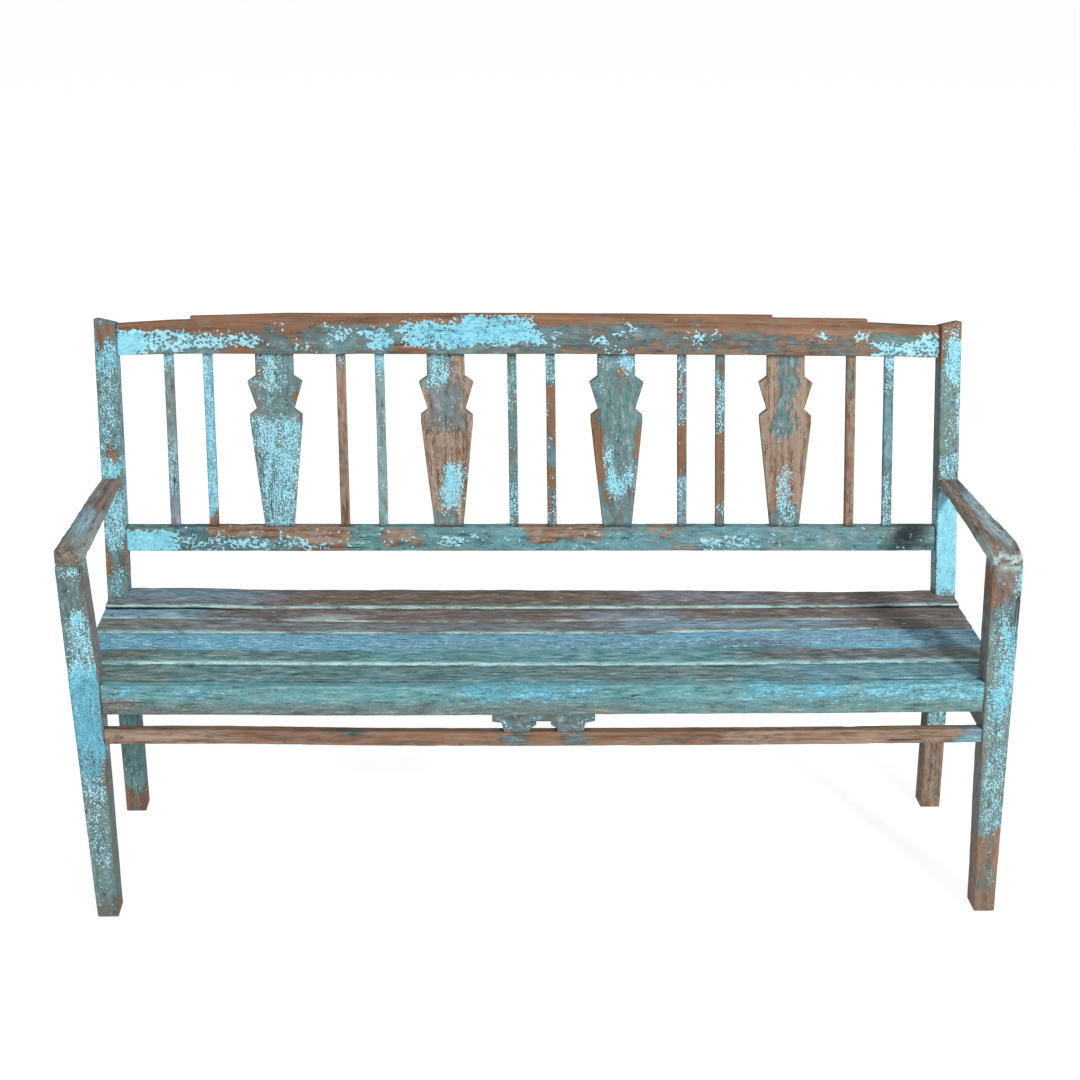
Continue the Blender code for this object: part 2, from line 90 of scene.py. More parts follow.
# Wear: arris radius, depth of chips, waviness of faces and rounding of the ends
Wear = namedtuple("Wear", "arris chip wave end")
FRAME_WEAR = Wear(0.0020, 0.0030, 0.0005, 0.0028)
SLAT_WEAR = Wear(0.0034, 0.0034, 0.0011, 0.0040)
ARM_WEAR = Wear(0.0042, 0.0040, 0.0009, 0.0080)
THIN_WEAR = Wear(0.0013, 0.0014, 0.0004, 0.0008)
ARRIS_LEAST = 0.0006
ARRIS_SHARE = 0.42
EDGE_REACH = 0.006
RUB_SPACING = 0.020
RUB_SHARE = 0.55
CHIP_SPACING = 0.055
CHIP_START = 0.42
CHIP_RANGE = 0.35
WAVE_SPACING = 0.090
WAVE_WIDTH = 0.030
# Painted shade: how far it reaches in from the joint at each end of a piece, how far below a slat's top it
# starts on the slat's sides, and how dark it is in the joints
PAINTED_SHADE_LENGTH = 0.0030
PAINTED_SHADE_DEPTH = 0.0022
PAINTED_SHADE_IN_JOINTS = 0.85

# Seeds: the first of each kind of piece, then how far apart the patterns of two seeds lie
POST_SEED = 2.0
LEG_SEED = 6.0
ARM_SEED = 9.0
BACK_RAIL_SEED = 12.0
FRONT_RAIL_SEED = 14.0
CREST_SEED = 17.0
BRACKET_SEED = 18.0
UPRIGHT_SEED = 20.0
SLAT_SEED = 40.0
HIDDEN_RAIL_SEED = 50.0
SEED_STEPS = (7.31, 3.17)
CORNER_SEED_STEP = 11.0
CHIP_SEED_STEP = 0.5
GRAIN_STEP = 5.0
PEG_GRAIN_STEP = 7.0

# Age: how far old pieces have sunk, at shares of their length from the left, and where wear has cut them down
BOW_SHARES = (0.0, 0.08, 0.15, 0.3, 0.45, 0.6, 0.8, 0.9, 1.0)
CREST_BOW = (0.0045, 0.0005, 0.0005, 0.0005, -0.0008, -0.0006, 0.0006, 0.0020, 0.0040)
APRON_BOW = (0.0, 0.0010, 0.0018, 0.0040, 0.0034, 0.0022, 0.0020, 0.0010, 0.0)
STRETCHER_BOW = (-0.0025, -0.0022, -0.0018, 0.0025, 0.0045, 0.0045, 0.0035, 0.0020, 0.0008)
SEAT_BOW = (-0.0020, -0.0018, -0.0008, 0.0012, 0.0020, 0.0016, -0.0005, -0.0020, -0.0022)
CREST_WORN = 0.003
BRACKET_SINK = 0.0036
POST_TOP_FALL = 0.008
CUT_REACH = 0.040
NOSE_OUTER = 0.009
NOSE_INNER = 0.003
NOSE_ROUNDS = {"left": (NOSE_OUTER, NOSE_INNER), "right": (NOSE_INNER, NOSE_OUTER)}
NOSE_WORN = {"left": 0.001, "right": 0.017}
NOSE_REACH = 0.060

# Reading an armrest's solid: the least width of its blade, and how far from its back end the top is read
ARM_LEAST = 0.030
BACK_END_REACH = 0.010

# Seat, from the front slat on: how far each slat's top has sunk, how far the seat's front edge and the seam
# behind each slat have wandered to the back, and how far the ends of the back slat have lifted
SLAT_DROPS = (0.0006, -0.0015, 0.0020, 0.0010, 0.0010, -0.0010)
SEAM_SHARES = (0.07, 0.35, 0.65, 0.90)
SEAMS = (
    (0.0, 0.0, 0.0, 0.0),
    (0.006, 0.007, 0.003, 0.005),
    (-0.005, -0.006, -0.005, -0.006),
    (0.008, 0.010, 0.011, 0.023),
    (0.013, -0.001, 0.007, 0.0),
    (0.006, 0.012, 0.010, 0.008),
    (-0.004, 0.001, -0.003, -0.022),
)
LIFTED_SLAT = 6
LIFT_SHARES = (0.03, 0.11, 0.17, 0.86, 0.96)
LIFT = (0.0035, 0.0030, 0.0, 0.0, 0.0028)

# Pegs: how thin the foot is, and the head as heights above the slat with shares of the radius
PEG_FOOT = 0.8
PEG_HEAD = ((-0.0006, 1.0), (0.0, 0.86), (0.0004, 0.5), (0.0005, 0.12))

# Paint colours, as they look: red, green, blue out of 255
COLOURS = {
    "grey_teal": (100, 131, 132),
    "deep_teal": (70, 116, 122),
    "grey_green": (112, 136, 130),
    "olive": (118, 114, 94),
    "blue": (92, 152, 190),
    "sky": (116, 178, 200),
    "lavender": (140, 156, 180),
    "mauve": (128, 118, 116),
    "pale": (182, 208, 206),
    "slate": (92, 111, 112),
    "sea": (98, 165, 170),
    # Sooty dirt, also used as painted shade on the inner side of the right rear post and on the lower back
    # rail
    "soot": (54, 62, 64),
    "umber": (122, 106, 94),
    "azure": (108, 184, 218),
    # Pale blue-green for the front edges of seat slats, made bright partly as a painted highlight on those
    # edges
    "aqua": (190, 238, 236),
}
TURQUOISE_LIGHT = (178, 236, 246)
TURQUOISE = (140, 214, 233)
TURQUOISE_DEEP = (98, 172, 196)
CHALK = (198, 225, 234)
COOL = (112, 166, 184)
DUST = (178, 167, 152)
# Dark of cracks and checks, also used for painted shade in joints, in slat gaps and along the rims of flakes
CRACK_AND_SHADE = (34, 32, 32)

# Colours of the wood, from dark to light: under paint, where hands rub it, and in the weather
TEAK_COLOURS = ((92, 65, 48), (134, 96, 70), (164, 122, 90))
HANDLED_COLOURS = ((86, 70, 60), (126, 105, 91), (164, 142, 124))
WEATHERED_COLOURS = ((78, 68, 62), (118, 105, 97), (156, 146, 138))

# Patterns in wood and paint, as features per metre along the grain and across it, then how far two of them
# are moved, and how deep and shiny the surface is
FIGURE_SCALES = (5.0, 85.0, 85.0)
FIBRE_SCALES = (22.0, 620.0, 620.0)
SPECK_SCALES = (360.0, 360.0, 360.0)
CHECK_SCALES = (4.0, 150.0, 150.0)
CHECK_PLACE_SCALES = (7.0, 16.0, 16.0)
PIT_WANDER = (1.5, 1.5, 1.5)
HUE_SHIFT = (13.7, 5.1, 9.3)
BUMP_STRENGTH = 0.55
BUMP_HEIGHT = 0.0011
SHEEN = 0.30

# Old paint of a piece: how much top coat and bare wood it has, its undercoat's colour, and patches that
# change them in places. In a patch, bright is top coat, bare is wood, deep darkens the top coat, film is dust
# on the wood, split opens checks in the grain, and the name of a colour tints the undercoat. The table is in
# hundredths: of the length and width of a piece, and of a full layer.
Paint = namedtuple("Paint", "bright bare coat patches")
PATCH_SOFT_ACROSS = 0.30
PATCH_SOFT_SHARE = 1.2
STRAY_SHARE = 0.6
STRAY_SPACING = 0.012


def at(start=0, stop=100, low=0, high=100, **layers):
    """A patch: from and to along a piece, from and to across it, and how much of each layer lies there."""
    amounts = {layer: amount / 100 for layer, amount in layers.items()}
    return start / 100, stop / 100, low / 100, high / 100, amounts


def painted(bright, bare, coat, *patches):
    """The paint of a piece, given in hundredths."""
    return Paint(bright / 100, bare / 100, coat, patches)


PAINT = {
    "crest_rail": painted(0, 22, "grey_teal",
        at(1, 100, 70, 100, bare=66), at(8.5, 16.5, 45, 100, bare=40), at(0, 3.2, 0, 80, bright=92),
        at(3.2, 8.5, 5, 78, bright=60), at(8.5, 17, 8, 58, bright=56), at(12.5, 16, 0, 25, bare=50),
        at(16.5, 25, 0, 90, slate=95, bare=2), at(17, 22, 10, 90, bright=14),
        at(19.5, 22.5, 30, 100, bare=40), at(21.5, 24, 0, 30, bright=40), at(25, 28.5, 25, 75, bright=54),
        at(30, 33.5, 8, 70, bright=68), at(33.5, 36.5, 0, 35, bare=50), at(34.5, 43, 15, 86, bright=74),
        at(42, 50.5, 22, 98, bright=80), at(30, 54, deep=35), at(50, 54, 15, 60, bright=40),
        at(44, 66, 0, 40, slate=80), at(54, 66, 0, 60, bare=22), at(57, 59.2, 20, 50, bright=66),
        at(60.6, 62.2, 40, 78, bright=64), at(58.5, 62.5, 0, 16, bright=64), at(65.5, 91.5, bare=38),
        at(66, 90, 0, 60, slate=85), at(66, 90, 0, 50, bare=-16), at(55.5, 65, 40, 85, slate=60, bare=-14),
        at(54, 100, 0, 80, film=12), at(69, 71.2, 20, 62, bright=60), at(71.5, 73.5, 35, 65, bright=45),
        at(84.5, 86.8, 42, 68, bright=64), at(88.7, 91.2, 38, 68, bright=64),
        at(91.5, 100, 0, 48, bright=62), at(97.5, 100, 40, 90, bright=48)),
    "lower_back_rail": painted(20, 14, "grey_teal",
        at(28, 100, sea=40), at(45, 100, sky=22), at(0, 6, 0, 90, bright=75), at(6, 15, deep_teal=80),
        at(6, 13, 0, 70, bright=25), at(10, 27, 55, 100, bare=75), at(13, 25, 5, 50, bright=34),
        at(21.5, 27.5, bare=50), at(31, 36.5, 20, 95, bare=60), at(38.5, 42, 20, 70, bright=40),
        at(49, 53, 30, 100, bare=75), at(53.5, 59, 45, 100, bare=60), at(64, 67, 20, 100, bare=35),
        at(70, 77, 5, 55, bright=36), at(78, 100, grey_green=30), at(film=50),
        # Near the rail's right end: a dark patch of sooty dirt with painted shade, deepening the armrest's
        # shadow
        at(94.5, 99, 10, 100, soot=75), at(94, 99, bare=-20)),
    "front_leg_left": painted(20, 8, "grey_teal",
        at(96, 98.5, 30, 100, bright=45), at(86.5, 96, bright=-12), at(86, 97, slate=60),
        at(83, 86.8, 35, 90, bright=72), at(74, 83, 10, 100, bright=32), at(48.5, 74, bright=58),
        at(42, 72, deep=85), at(36, 48.5, 0, 90, bright=34), at(37, 46, 30, 100, bare=25),
        at(14, 36, bright=16), at(0, 35, grey_green=50), at(0, 6, bare=30),
        at(55, 97, 97, 100, mauve=80, bright=-50), at(0, 45, 97, 100, soot=40, bright=-40),
        at(0, 14, bright=-8)),
    "front_leg_right": painted(24, 12, "grey_green",
        at(90, 100, 0, 80, bare=28), at(88, 100, 0, 85, mauve=85), at(91.5, 98.5, 78, 100, bright=50),
        at(84, 90, deep_teal=50), at(62, 85, 40, 100, bright=38), at(56, 66, 10, 80, bright=35),
        at(25, 85, deep=40), at(25, 55, 10, 100, bright=20), at(12, 24, bare=38), at(0, 12, bare=28),
        at(0, 25, mauve=60), at(0, 14, olive=40), at(0, 85, film=20), at(90, 100, 0, 75, bright=-24),
        at(0, 23, bright=-16), at(0, 100, 0, 3, mauve=60, bare=10), at(23, 100, 0, 3, bright=-40),
        at(99.2, 100, bare=-60, pale=60)),
    "rear_post_left": painted(28, 10, "grey_teal",
        at(95.8, 99.3, 15, 88, bare=75), at(95.8, 99, 15, 85, bright=-40), at(90, 95.8, bright=36),
        at(75, 95.8, deep=35), at(75, 90, bright=14), at(73.3, 75.7, 30, 85, bare=70),
        at(70, 73.3, bright=55), at(57.5, 68, bright=34), at(51, 56, 0, 40, bare=50),
        at(51, 56.5, 60, 100, bare=40), at(47, 51, 0, 85, bright=18), at(47, 52, deep=60),
        at(0, 46, bright=-16), at(6, 46, sea=35), at(0, 5, bare=60)),
    "rear_post_right": painted(24, 10, "grey_green",
        at(97.2, 100, bare=60), at(90, 97, 0, 22, bare=50), at(88.5, 97.2, 25, 100, bright=54),
        at(78, 87, 78, 100, bright=40), at(69.5, 75, bright=36), at(47, 66, bright=82),
        at(0, 16.5, bare=48, olive=60, bright=-26), at(16.5, 46, bright=16, sea=50),
        # Across 0 to 4, the post's inner side is darkened as painted shade: very dark low down, slate higher
        # up, with less top coat
        at(10, 46, 0, 4, soot=90, bright=-60), at(0, 17, film=60), at(88.5, 96.5, 28, 48, split=100),
        at(49, 62, 40, 62, split=100), at(44, 100, 0, 4, bright=-50, slate=80, bare=-15)),
    "armrest_left": painted(2, 40, "mauve",
        at(20, 52, 15, 85, sky=60), at(15, 55, 10, 90, lavender=50), at(18, 55, 15, 90, bare=-35),
        at(5, 18, 0, 90, olive=60, bare=-20), at(5, 18, 20, 90, pale=30), at(55, 100, 50, 100, bare=20),
        at(55, 80, 30, 100, umber=40), at(72, 82, 20, 60, pale=40), at(0, 60, 95.5, 100, pale=42, bare=-36),
        at(0, 1.2, slate=40), at(18, 46, 10, 85, sky=40), at(18, 46, 15, 80, pale=26), at(film=45)),
    "armrest_right": painted(2, 44, "mauve",
        at(15, 80, 42, 90, sky=60), at(15, 85, 35, 95, lavender=50), at(15, 85, 38, 95, bare=-35),
        # Across 0 to 4.5, near the nose, the arm's inner side is made pale as painted light on a side that
        # lies in shade
        at(10, 70, 5, 35, umber=50), at(2, 12, 30, 100, slate=40), at(0, 32, 0, 4.5, pale=80, bare=-50),
        at(32, 100, 0, 10, umber=20, bare=42), at(30, 100, 0, 20, film=40), at(12, 75, 45, 92, pale=46),
        at(0, 0.5, pale=80, bare=-35), at(film=50)),
    "back_splat_1": painted(16, 6, "grey_teal",
        at(78, 100, 5, 65, bright=36), at(0, 63, 20, 100, bright=46), at(0, 60, 0, 20, bright=30),
        at(74.5, 80, 80, 100, bare=85), at(17, 35, 90, 100, bare=70), at(39, 43, 42, 58, bare=75),
        at(60, 90, 0, 25, mauve=50), at(78, 86, 0, 12, bare=35)),
    "back_splat_2": painted(4, 62, "mauve",
        at(80, 100, 0, 55, bare=-50), at(80, 100, 0, 60, grey_teal=90), at(80, 100, 8, 60, bright=58),
        at(58, 80, 5, 95, bare=-36), at(60, 80, 20, 80, grey_teal=60), at(60, 66, 30, 50, bright=42),
        at(28, 62, olive=50), at(10, 37, 30, 90, bright=70), at(0, 7, bare=-40), at(0, 35, grey_teal=80),
        at(film=70)),
    "back_splat_3": painted(5, 8, "grey_teal",
        at(90, 100, 55, 100, bright=62), at(92, 100, 0, 20, bright=48), at(85, 92, 50, 78, bare=75),
        at(78, 84, 10, 30, bright=48), at(29, 59, 0, 24, bare=80), at(38, 55, 84, 100, bare=65),
        at(25, 48, 22, 42, bright=56), at(19, 30, 30, 72, bright=64), at(22, 38, 70, 98, bright=58),
        at(13, 23, 10, 45, bare=70)),
    "back_splat_4": painted(2, 70, "slate",
        at(84, 100, 30, 85, bare=-40), at(74, 86, 45, 75, bare=-50), at(52, 76, 30, 60, bare=-48),
        at(50, 56, 28, 45, bright=46), at(50, 100, 20, 90, grey_teal=80), at(10, 32, 28, 68, bright=64),
        at(0, 12, bare=-45), at(0, 12, 20, 90, bright=40), at(0, 15, grey_teal=80), at(film=55)),
    "back_spindle_01": painted(14, 6, "grey_teal",
        at(92, 100, bright=52), at(pale=16), at(55, 90, mauve=30), at(17, 55, bright=36),
        at(0, 20, lavender=60)),
    "back_spindle_02": painted(64, 5, "sky", at(0, 8.5, bare=75), at(0, 9, bright=-60)),
    "back_spindle_03": painted(0, 62, "mauve", at(93, 100, bright=46), at(92, 100, bare=-45), at(film=45)),
    "back_spindle_04": painted(24, 2, "grey_teal", at(88, 100, bright=46), at(pale=30)),
    "back_spindle_05": painted(26, 14, "grey_teal", at(2, 26, bright=34), at(70, 92, bright=20)),
    "back_spindle_06": painted(20, 20, "grey_teal",
        at(84, 100, bright=36), at(52, 82, bare=45), at(24, 36, bare=50), at(0, 20, bright=26)),
    "back_spindle_07": painted(16, 30, "grey_teal",
        at(lavender=30), at(62, 100, bright=24), at(32, 60, bare=35), at(8, 30, bright=34),
        at(0, 30, bare=-25)),
    "back_spindle_08": painted(10, 28, "grey_teal",
        at(54, 88, bright=48), at(14, 54, bare=40), at(6, 16, bright=36)),
    "back_spindle_09": painted(4, 55, "olive", at(80, 100, bare=-30), at(film=45)),
    "back_spindle_10": painted(18, 6, "grey_teal",
        at(90, 100, bright=52), at(79, 86, bright=46), at(0, 30, bright=36), at(40, 75, sky=25)),
    "front_apron": painted(8, -6, "slate",
        at(0, 100, 40, 100, sea=75), at(0, 100, 0, 40, grey_green=50), at(0, 100, 55, 100, bright=22),
        at(0, 85, deep=80), at(85, 100, deep=55), at(1, 4.5, 45, 100, bright=30),
        at(9, 13, 40, 100, bright=22), at(40, 56, 30, 100, bright=26), at(72, 84, 30, 100, bright=28),
        at(86, 100, 35, 100, bright=30), at(0.3, 3.5, 8, 70, umber=70, bare=20), at(60, 100, 0, 45, sea=35),
        at(20, 30, 0, 35, bare=12), at(56, 64, 0, 30, bare=14), at(film=30)),
    "stretcher_bracket": painted(14, 6, "slate",
        at(12, 20, 40, 80, bright=40), at(84, 92, 40, 80, bright=40)),
    "front_stretcher": painted(2, 72, "slate",
        at(0, 2.5, bare=-25), at(0.4, 2.8, 10, 80, bright=30), at(44.5, 48.2, bare=-55),
        at(51.7, 55, bare=-55), at(97.5, 100, 0, 70, bright=30), at(97.2, 100, lavender=50, bare=-55),
        at(97.5, 100, 0, 60, sea=60), at(18, 30, bare=-10), at(70, 82, bare=-8),
        at(34.3, 35.2, 20, 70, bright=55), at(70, 100, film=50), at(0, 15, film=60), at(15, 70, film=20)),
    "seat_slat_1": painted(10, 12, "slate",
        at(sea=48), at(0, 10, 0, 70, olive=40), at(50, 70, 20, 90, mauve=30), at(76, 100, sky=40),
        at(80, 100, bright=12)),
    "seat_slat_2": painted(10, 2, "grey_teal",
        at(deep_teal=66), at(0, 30, 12, 100, slate=30), at(0, 30, 10, 100, grey_green=28),
        at(2, 8, 20, 100, olive=40), at(30, 72, 10, 100, sea=85), at(5, 30, 10, 100, sea=26),
        at(0, 72, 12, 100, bare=-8), at(74, 100, 10, 100, mauve=50), at(7, 98, 0, 10, bright=26),
        # Along the front edge, across 0 to 17: pale paint and top coat, partly a painted highlight on the
        # edge
        at(8, 26, 0, 17, bright=20), at(2, 98, 0, 12, bare=-50, aqua=85), at(8, 26, 0, 16, aqua=75),
        at(50, 98, 0, 8, sky=30)),
    "seat_slat_3": painted(22, 8, "azure",
        at(0, 28, bright=5), at(16, 24, sky=30), at(24, 30, 40, 100, blue=30), at(30, 68, sky=55),
        at(30, 70, 0, 50, grey_teal=30), at(68, 80, 0, 60, slate=55, bare=22),
        at(72, 95, 30, 100, lavender=35), at(93, 100, slate=60), at(0, 95, 10, 90, bright=16)),
    "seat_slat_4": painted(20, 32, "mauve",
        at(0, 10, grey_green=50), at(10, 55, umber=20), at(10, 55, 20, 90, sky=25), at(0, 12, bare=-15),
        at(58, 85, 20, 100, lavender=60, bare=-15), at(58, 85, 20, 90, sky=50), at(88, 97, bare=30),
        # Along the front edge: pale paint and top coat, partly a painted highlight on the edge
        at(0, 98, 0, 9, aqua=70, bare=-12), at(0, 30, 0, 10, bright=22)),
    "seat_slat_5": painted(20, 36, "mauve",
        at(0, 12, lavender=60, bare=-20), at(0, 13, sky=75), at(12, 55, umber=50),
        at(12, 20, 0, 50, grey_teal=40), at(22, 30, 0, 50, pale=50, bare=-25),
        # The last patch on this line is a pale front edge, partly a painted highlight on the edge
        at(57, 66, 10, 70, lavender=70, bare=-30), at(66, 90, umber=40), at(0, 100, 0, 9, pale=60, bare=-6),
        at(88, 100, bare=12)),
    "seat_slat_6": painted(12, 34, "umber",
        at(0, 20, slate=40, bare=-15), at(0, 20, 20, 90, lavender=45), at(4, 16, 30, 100, sky=40),
        at(62, 80, 25, 85, lavender=50, bare=-20), at(82, 100, mauve=50),
        # Along the front edge: pale paint and top coat, partly a painted highlight on the edge
        at(0, 100, 0, 6, aqua=80, bare=-14), at(0, 30, 0, 6, bright=14)),
}
RAIL_PAINT = painted(16, 30, "slate", at(0, 100, 30, 100, grey_teal=60))
PAINT.update(dict.fromkeys(("rear_seat_rail", "side_seat_rail_left", "side_seat_rail_right"), RAIL_PAINT))
HIDDEN_PAINT = painted(4, 60, "slate")


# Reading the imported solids

BACK_PREFIXES = ("back_", "crest_", "lower_back_", "rear_post_")
SEAT_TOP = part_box("seat_slat_3")[1].z


def points_of(node):
    """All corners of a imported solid."""
    return np.array([vertex.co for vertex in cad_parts[node].data.vertices])


def measure_tilt():
    """How far the frame leans sideways, and the back rakes above the seat, per metre of height."""
    post = points_of("rear_post_left")
    height = post[:, 2].max()
    foot = post[post[:, 2] < SAME].min(axis=0)
    top = post[post[:, 2] > height - SAME].min(axis=0)
    return (top[0] - foot[0]) / height, (top[1] - foot[1]) / (height - SEAT_TOP)


LEAN, RAKE = measure_tilt()


def is_raked(node):
    """Whether a piece belongs to the raked back."""
    return node.startswith(BACK_PREFIXES)


def tilted(points, raked, sign):
    """Points with the lean, and for the back the rake, put on (sign 1) or taken off (sign -1)."""
    moved = points.copy()
    moved[:, 0] += sign * LEAN * points[:, 2]
    if raked:
        moved[:, 1] += sign * RAKE * np.maximum(0.0, points[:, 2] - SEAT_TOP)
    return moved


def square_points(node):
    """A solid's corners as they were before the frame leaned and the back was raked."""
    return tilted(points_of(node), is_raked(node), -1)


def square_box(node):
    """Lowest and highest corner of a solid that has been set square."""
    points = square_points(node)
    return points.min(axis=0), points.max(axis=0)


def front_outline(node):
    """Corners of a solid's front face, as x and z."""
    points = square_points(node)
    face = points[points[:, 1] < points[:, 1].min() + SAME]
    return face[:, [0, 2]]


def levels(outline, along):
    """For each level along an outline: the level, and the lowest and highest place across it."""
    rows = np.round(outline, SAME_DIGITS)
    found = []
    for level in np.unique(rows[:, along]):
        across = outline[rows[:, along] == level][:, 1 - along]
        found.append((level, across.min(), across.max()))
    return np.array(found)


def between(places, values):
    """A function that runs straight from value to value."""
    return lambda place: np.interp(place, places, values)


# Worn lengths of wood

def stations_along(start, stop, wear, knees=()):
    """Places along a piece: even steps, the knees of its outline and close steps at the rounded ends."""
    count = max(2, int(round((stop - start) / STATION_SPACING)))
    places = list(np.linspace(start + wear.end, stop - wear.end, count))
    for share in END_STEPS:
        places += [start + share * wear.end, stop - share * wear.end]
    places += [knee for knee in knees if start < knee < stop]
    return np.unique(np.round(places, PLACE_DIGITS))


def end_inset(places, wear):
    """How far the section draws in towards the rounded ends."""
    near = np.minimum(places - places[0], places[-1] - places)
    left = np.clip(wear.end - near, 0.0, wear.end)
    return wear.end - np.sqrt(np.maximum(wear.end ** 2 - left ** 2, 0.0))


def run_of_noise(places, spacing, seed):
    """Smooth noise along a piece, about -1 to 1."""
    shift = [seed * step for step in SEED_STEPS]
    return np.array([noise.noise((place / spacing, *shift)) for place in places])


def arris_radius(places, wear, seed):
    """Radius of one long edge: rubbed unevenly, with a chip here and there."""
    rubbed = wear.arris * (1.0 + RUB_SHARE * run_of_noise(places, RUB_SPACING, seed))
    chips = run_of_noise(places, CHIP_SPACING, seed + CHIP_SEED_STEP) - CHIP_START
    chips = np.clip(chips, 0.0, 1.0) / CHIP_RANGE
    return np.maximum(rubbed, ARRIS_LEAST) + wear.chip * np.minimum(chips, 1.0)


def side_shares(length):
    """Where the points of a straight side lie: one close to each edge and even steps between."""
    support = min(EDGE_SUPPORT_SHARE, EDGE_SUPPORT / length)
    steps = max(1, int(round(length / FACE_SPACING)))
    return [support] + [step / steps for step in range(1, steps)] + [1.0 - support]


def section_rings(places, bounds, wear, seed):
    """Rings of a rounded section at each place, as (p, q), with outward normals and closeness to an edge."""
    inset = end_inset(places, wear)
    low = bounds[:, 0::2] + inset[:, None]
    high = bounds[:, 1::2] - inset[:, None]
    size = high - low
    most = ARRIS_SHARE * size.min(axis=1)
    radii = [np.minimum(arris_radius(places, wear, seed + CORNER_SEED_STEP * corner), most)
             for corner in range(4)]
    corners = [(low[:, 0], low[:, 1]), (high[:, 0], low[:, 1]),
               (high[:, 0], high[:, 1]), (low[:, 0], high[:, 1])]
    inward = [(1, 1), (-1, 1), (-1, -1), (1, -1)]
    points, normals, edges = [], [], []

    def arc_point(corner, turn):
        angle = math.radians(180 + 90 * (corner + turn))
        normal = (math.cos(angle), math.sin(angle))
        radius = radii[corner]
        point = [corners[corner][axis] + inward[corner][axis] * radius + radius * normal[axis]
                 for axis in (0, 1)]
        return np.stack(point, axis=1), normal

    for corner in range(4):
        for step in range(ARC_STEPS + 1):
            point, normal = arc_point(corner, step / ARC_STEPS)
            points.append(point)
            normals.append(normal)
            edges.append(1.0)
        start, normal = arc_point(corner, 1.0)
        stop = arc_point((corner + 1) % 4, 0.0)[0]
        length = float(np.median(size[:, corner % 2]))
        for share in side_shares(length):
            points.append(start + share * (stop - start))
            normals.append(normal)
            edges.append(max(0.0, 1.0 - min(share, 1.0 - share) * length / EDGE_REACH))
    return np.stack(points, axis=1), np.array(normals), np.array(edges)


def wavy(places, rings, normals, wear, seed):
    """Push the faces in and out a little, as planed and weathered wood is."""
    for station, place in enumerate(places):
        for index, (p, q) in enumerate(rings[station]):
            spot = (place / WAVE_SPACING + seed, p / WAVE_WIDTH, q / WAVE_WIDTH)
            rings[station, index] += normals[index] * (wear.wave * noise.noise(spot))
    return rings


# A stick is a length of wood: the axis it runs along, the places and bounds of its sections, its wear, the
# direction that its paint is laid across (0 or 1), and where painted shade lies (in the joints at its ends,
# in the gaps along its sides, or nowhere). A skin is the points of a piece, with what its paint is placed by.
Stick = namedtuple("Stick", "node axis places bounds wear face grime")
Skin = namedtuple("Skin", "points shares grain edges grime")


def stick_skin(stick, seed):
    """The skin of a stick in square space, ring after ring, and how many points a ring has."""
    bounds = np.array([stick.bounds(place) for place in stick.places])
    rings, normals, edges = section_rings(stick.places, bounds, stick.wear, seed)
    rings = wavy(stick.places, rings, normals, stick.wear, seed)
    count = rings.shape[1]
    along = np.repeat(stick.places, count)
    flat = rings.reshape(-1, 2)
    points = np.zeros((len(flat), 3))
    points[:, stick.axis] = along
    points[:, (stick.axis + 1) % 3] = flat[:, 0]
    points[:, (stick.axis + 2) % 3] = flat[:, 1]
    low = np.repeat(bounds[:, 2 * stick.face], count)
    high = np.repeat(bounds[:, 2 * stick.face + 1], count)
    across = (flat[:, stick.face] - low) / (high - low)
    shares = np.stack([(along - along.min()) / np.ptp(along), across], axis=1)
    grain = np.stack([along + GRAIN_STEP * seed, flat[:, 0], flat[:, 1]], axis=1)
    depth = np.repeat(bounds[:, 3], count) - flat[:, 1]
    grime = painted_shade_on(stick, along, depth, np.tile(np.abs(normals[:, 0]), len(stick.places)))
    return Skin(points, shares, grain, np.tile(edges, len(stick.places)), grime), count


def painted_shade_on(stick, along, depth, sideways):
    """Painted shade: in the joints at both ends, or in the gaps on the sides of slats below their rounded
    edge.
    """
    if stick.grime == "ends":
        inside = np.minimum(along - along.min(), along.max() - along)
        return PAINTED_SHADE_IN_JOINTS * eased(1.0 - (inside - JOINT_OVERLAP) / PAINTED_SHADE_LENGTH)
    if stick.grime == "sides":
        return sideways * eased((depth - PAINTED_SHADE_DEPTH) / PAINTED_SHADE_DEPTH)
    return np.zeros(len(along))


def tube_faces(ring_count, per_ring):
    """Faces of a closed skin through rings, with a flat cap at each end."""
    faces = [tuple(reversed(range(per_ring)))]
    for base in range(0, (ring_count - 1) * per_ring, per_ring):
        for index in range(per_ring):
            here = base + index
            following = base + (index + 1) % per_ring
            faces.append((here, following, following + per_ring, here + per_ring))
    last = (ring_count - 1) * per_ring
    faces.append(tuple(range(last, last + per_ring)))
    return faces


def linear(colour):
    """A colour out of 255 as linear light, by the sRGB curve."""
    shares = np.array(colour) / 255.0
    return np.where(shares <= 0.04045, shares / 12.92, ((shares + 0.055) / 1.055) ** 2.4)


def eased(values):
    """Values held between 0 and 1, with soft ends."""
    held = np.clip(values, 0.0, 1.0)
    return held * held * (3.0 - 2.0 * held)


def band(values, low, high, soft):
    """1 inside a range and 0 outside, with soft borders; a range that reaches an end has no border there."""
    rise = np.ones_like(values) if low <= 0.0 else eased((values - low) / soft + 0.5)
    fall = np.ones_like(values) if high >= 1.0 else eased((high - values) / soft + 0.5)
    return rise * fall


def stray(grain, run):
    """How far the borders of patches stray along the grain."""
    spots = grain / np.array((2.0 * run, STRAY_SPACING, STRAY_SPACING))
    return np.array([STRAY_SHARE * run * noise.noise(spot) for spot in spots])


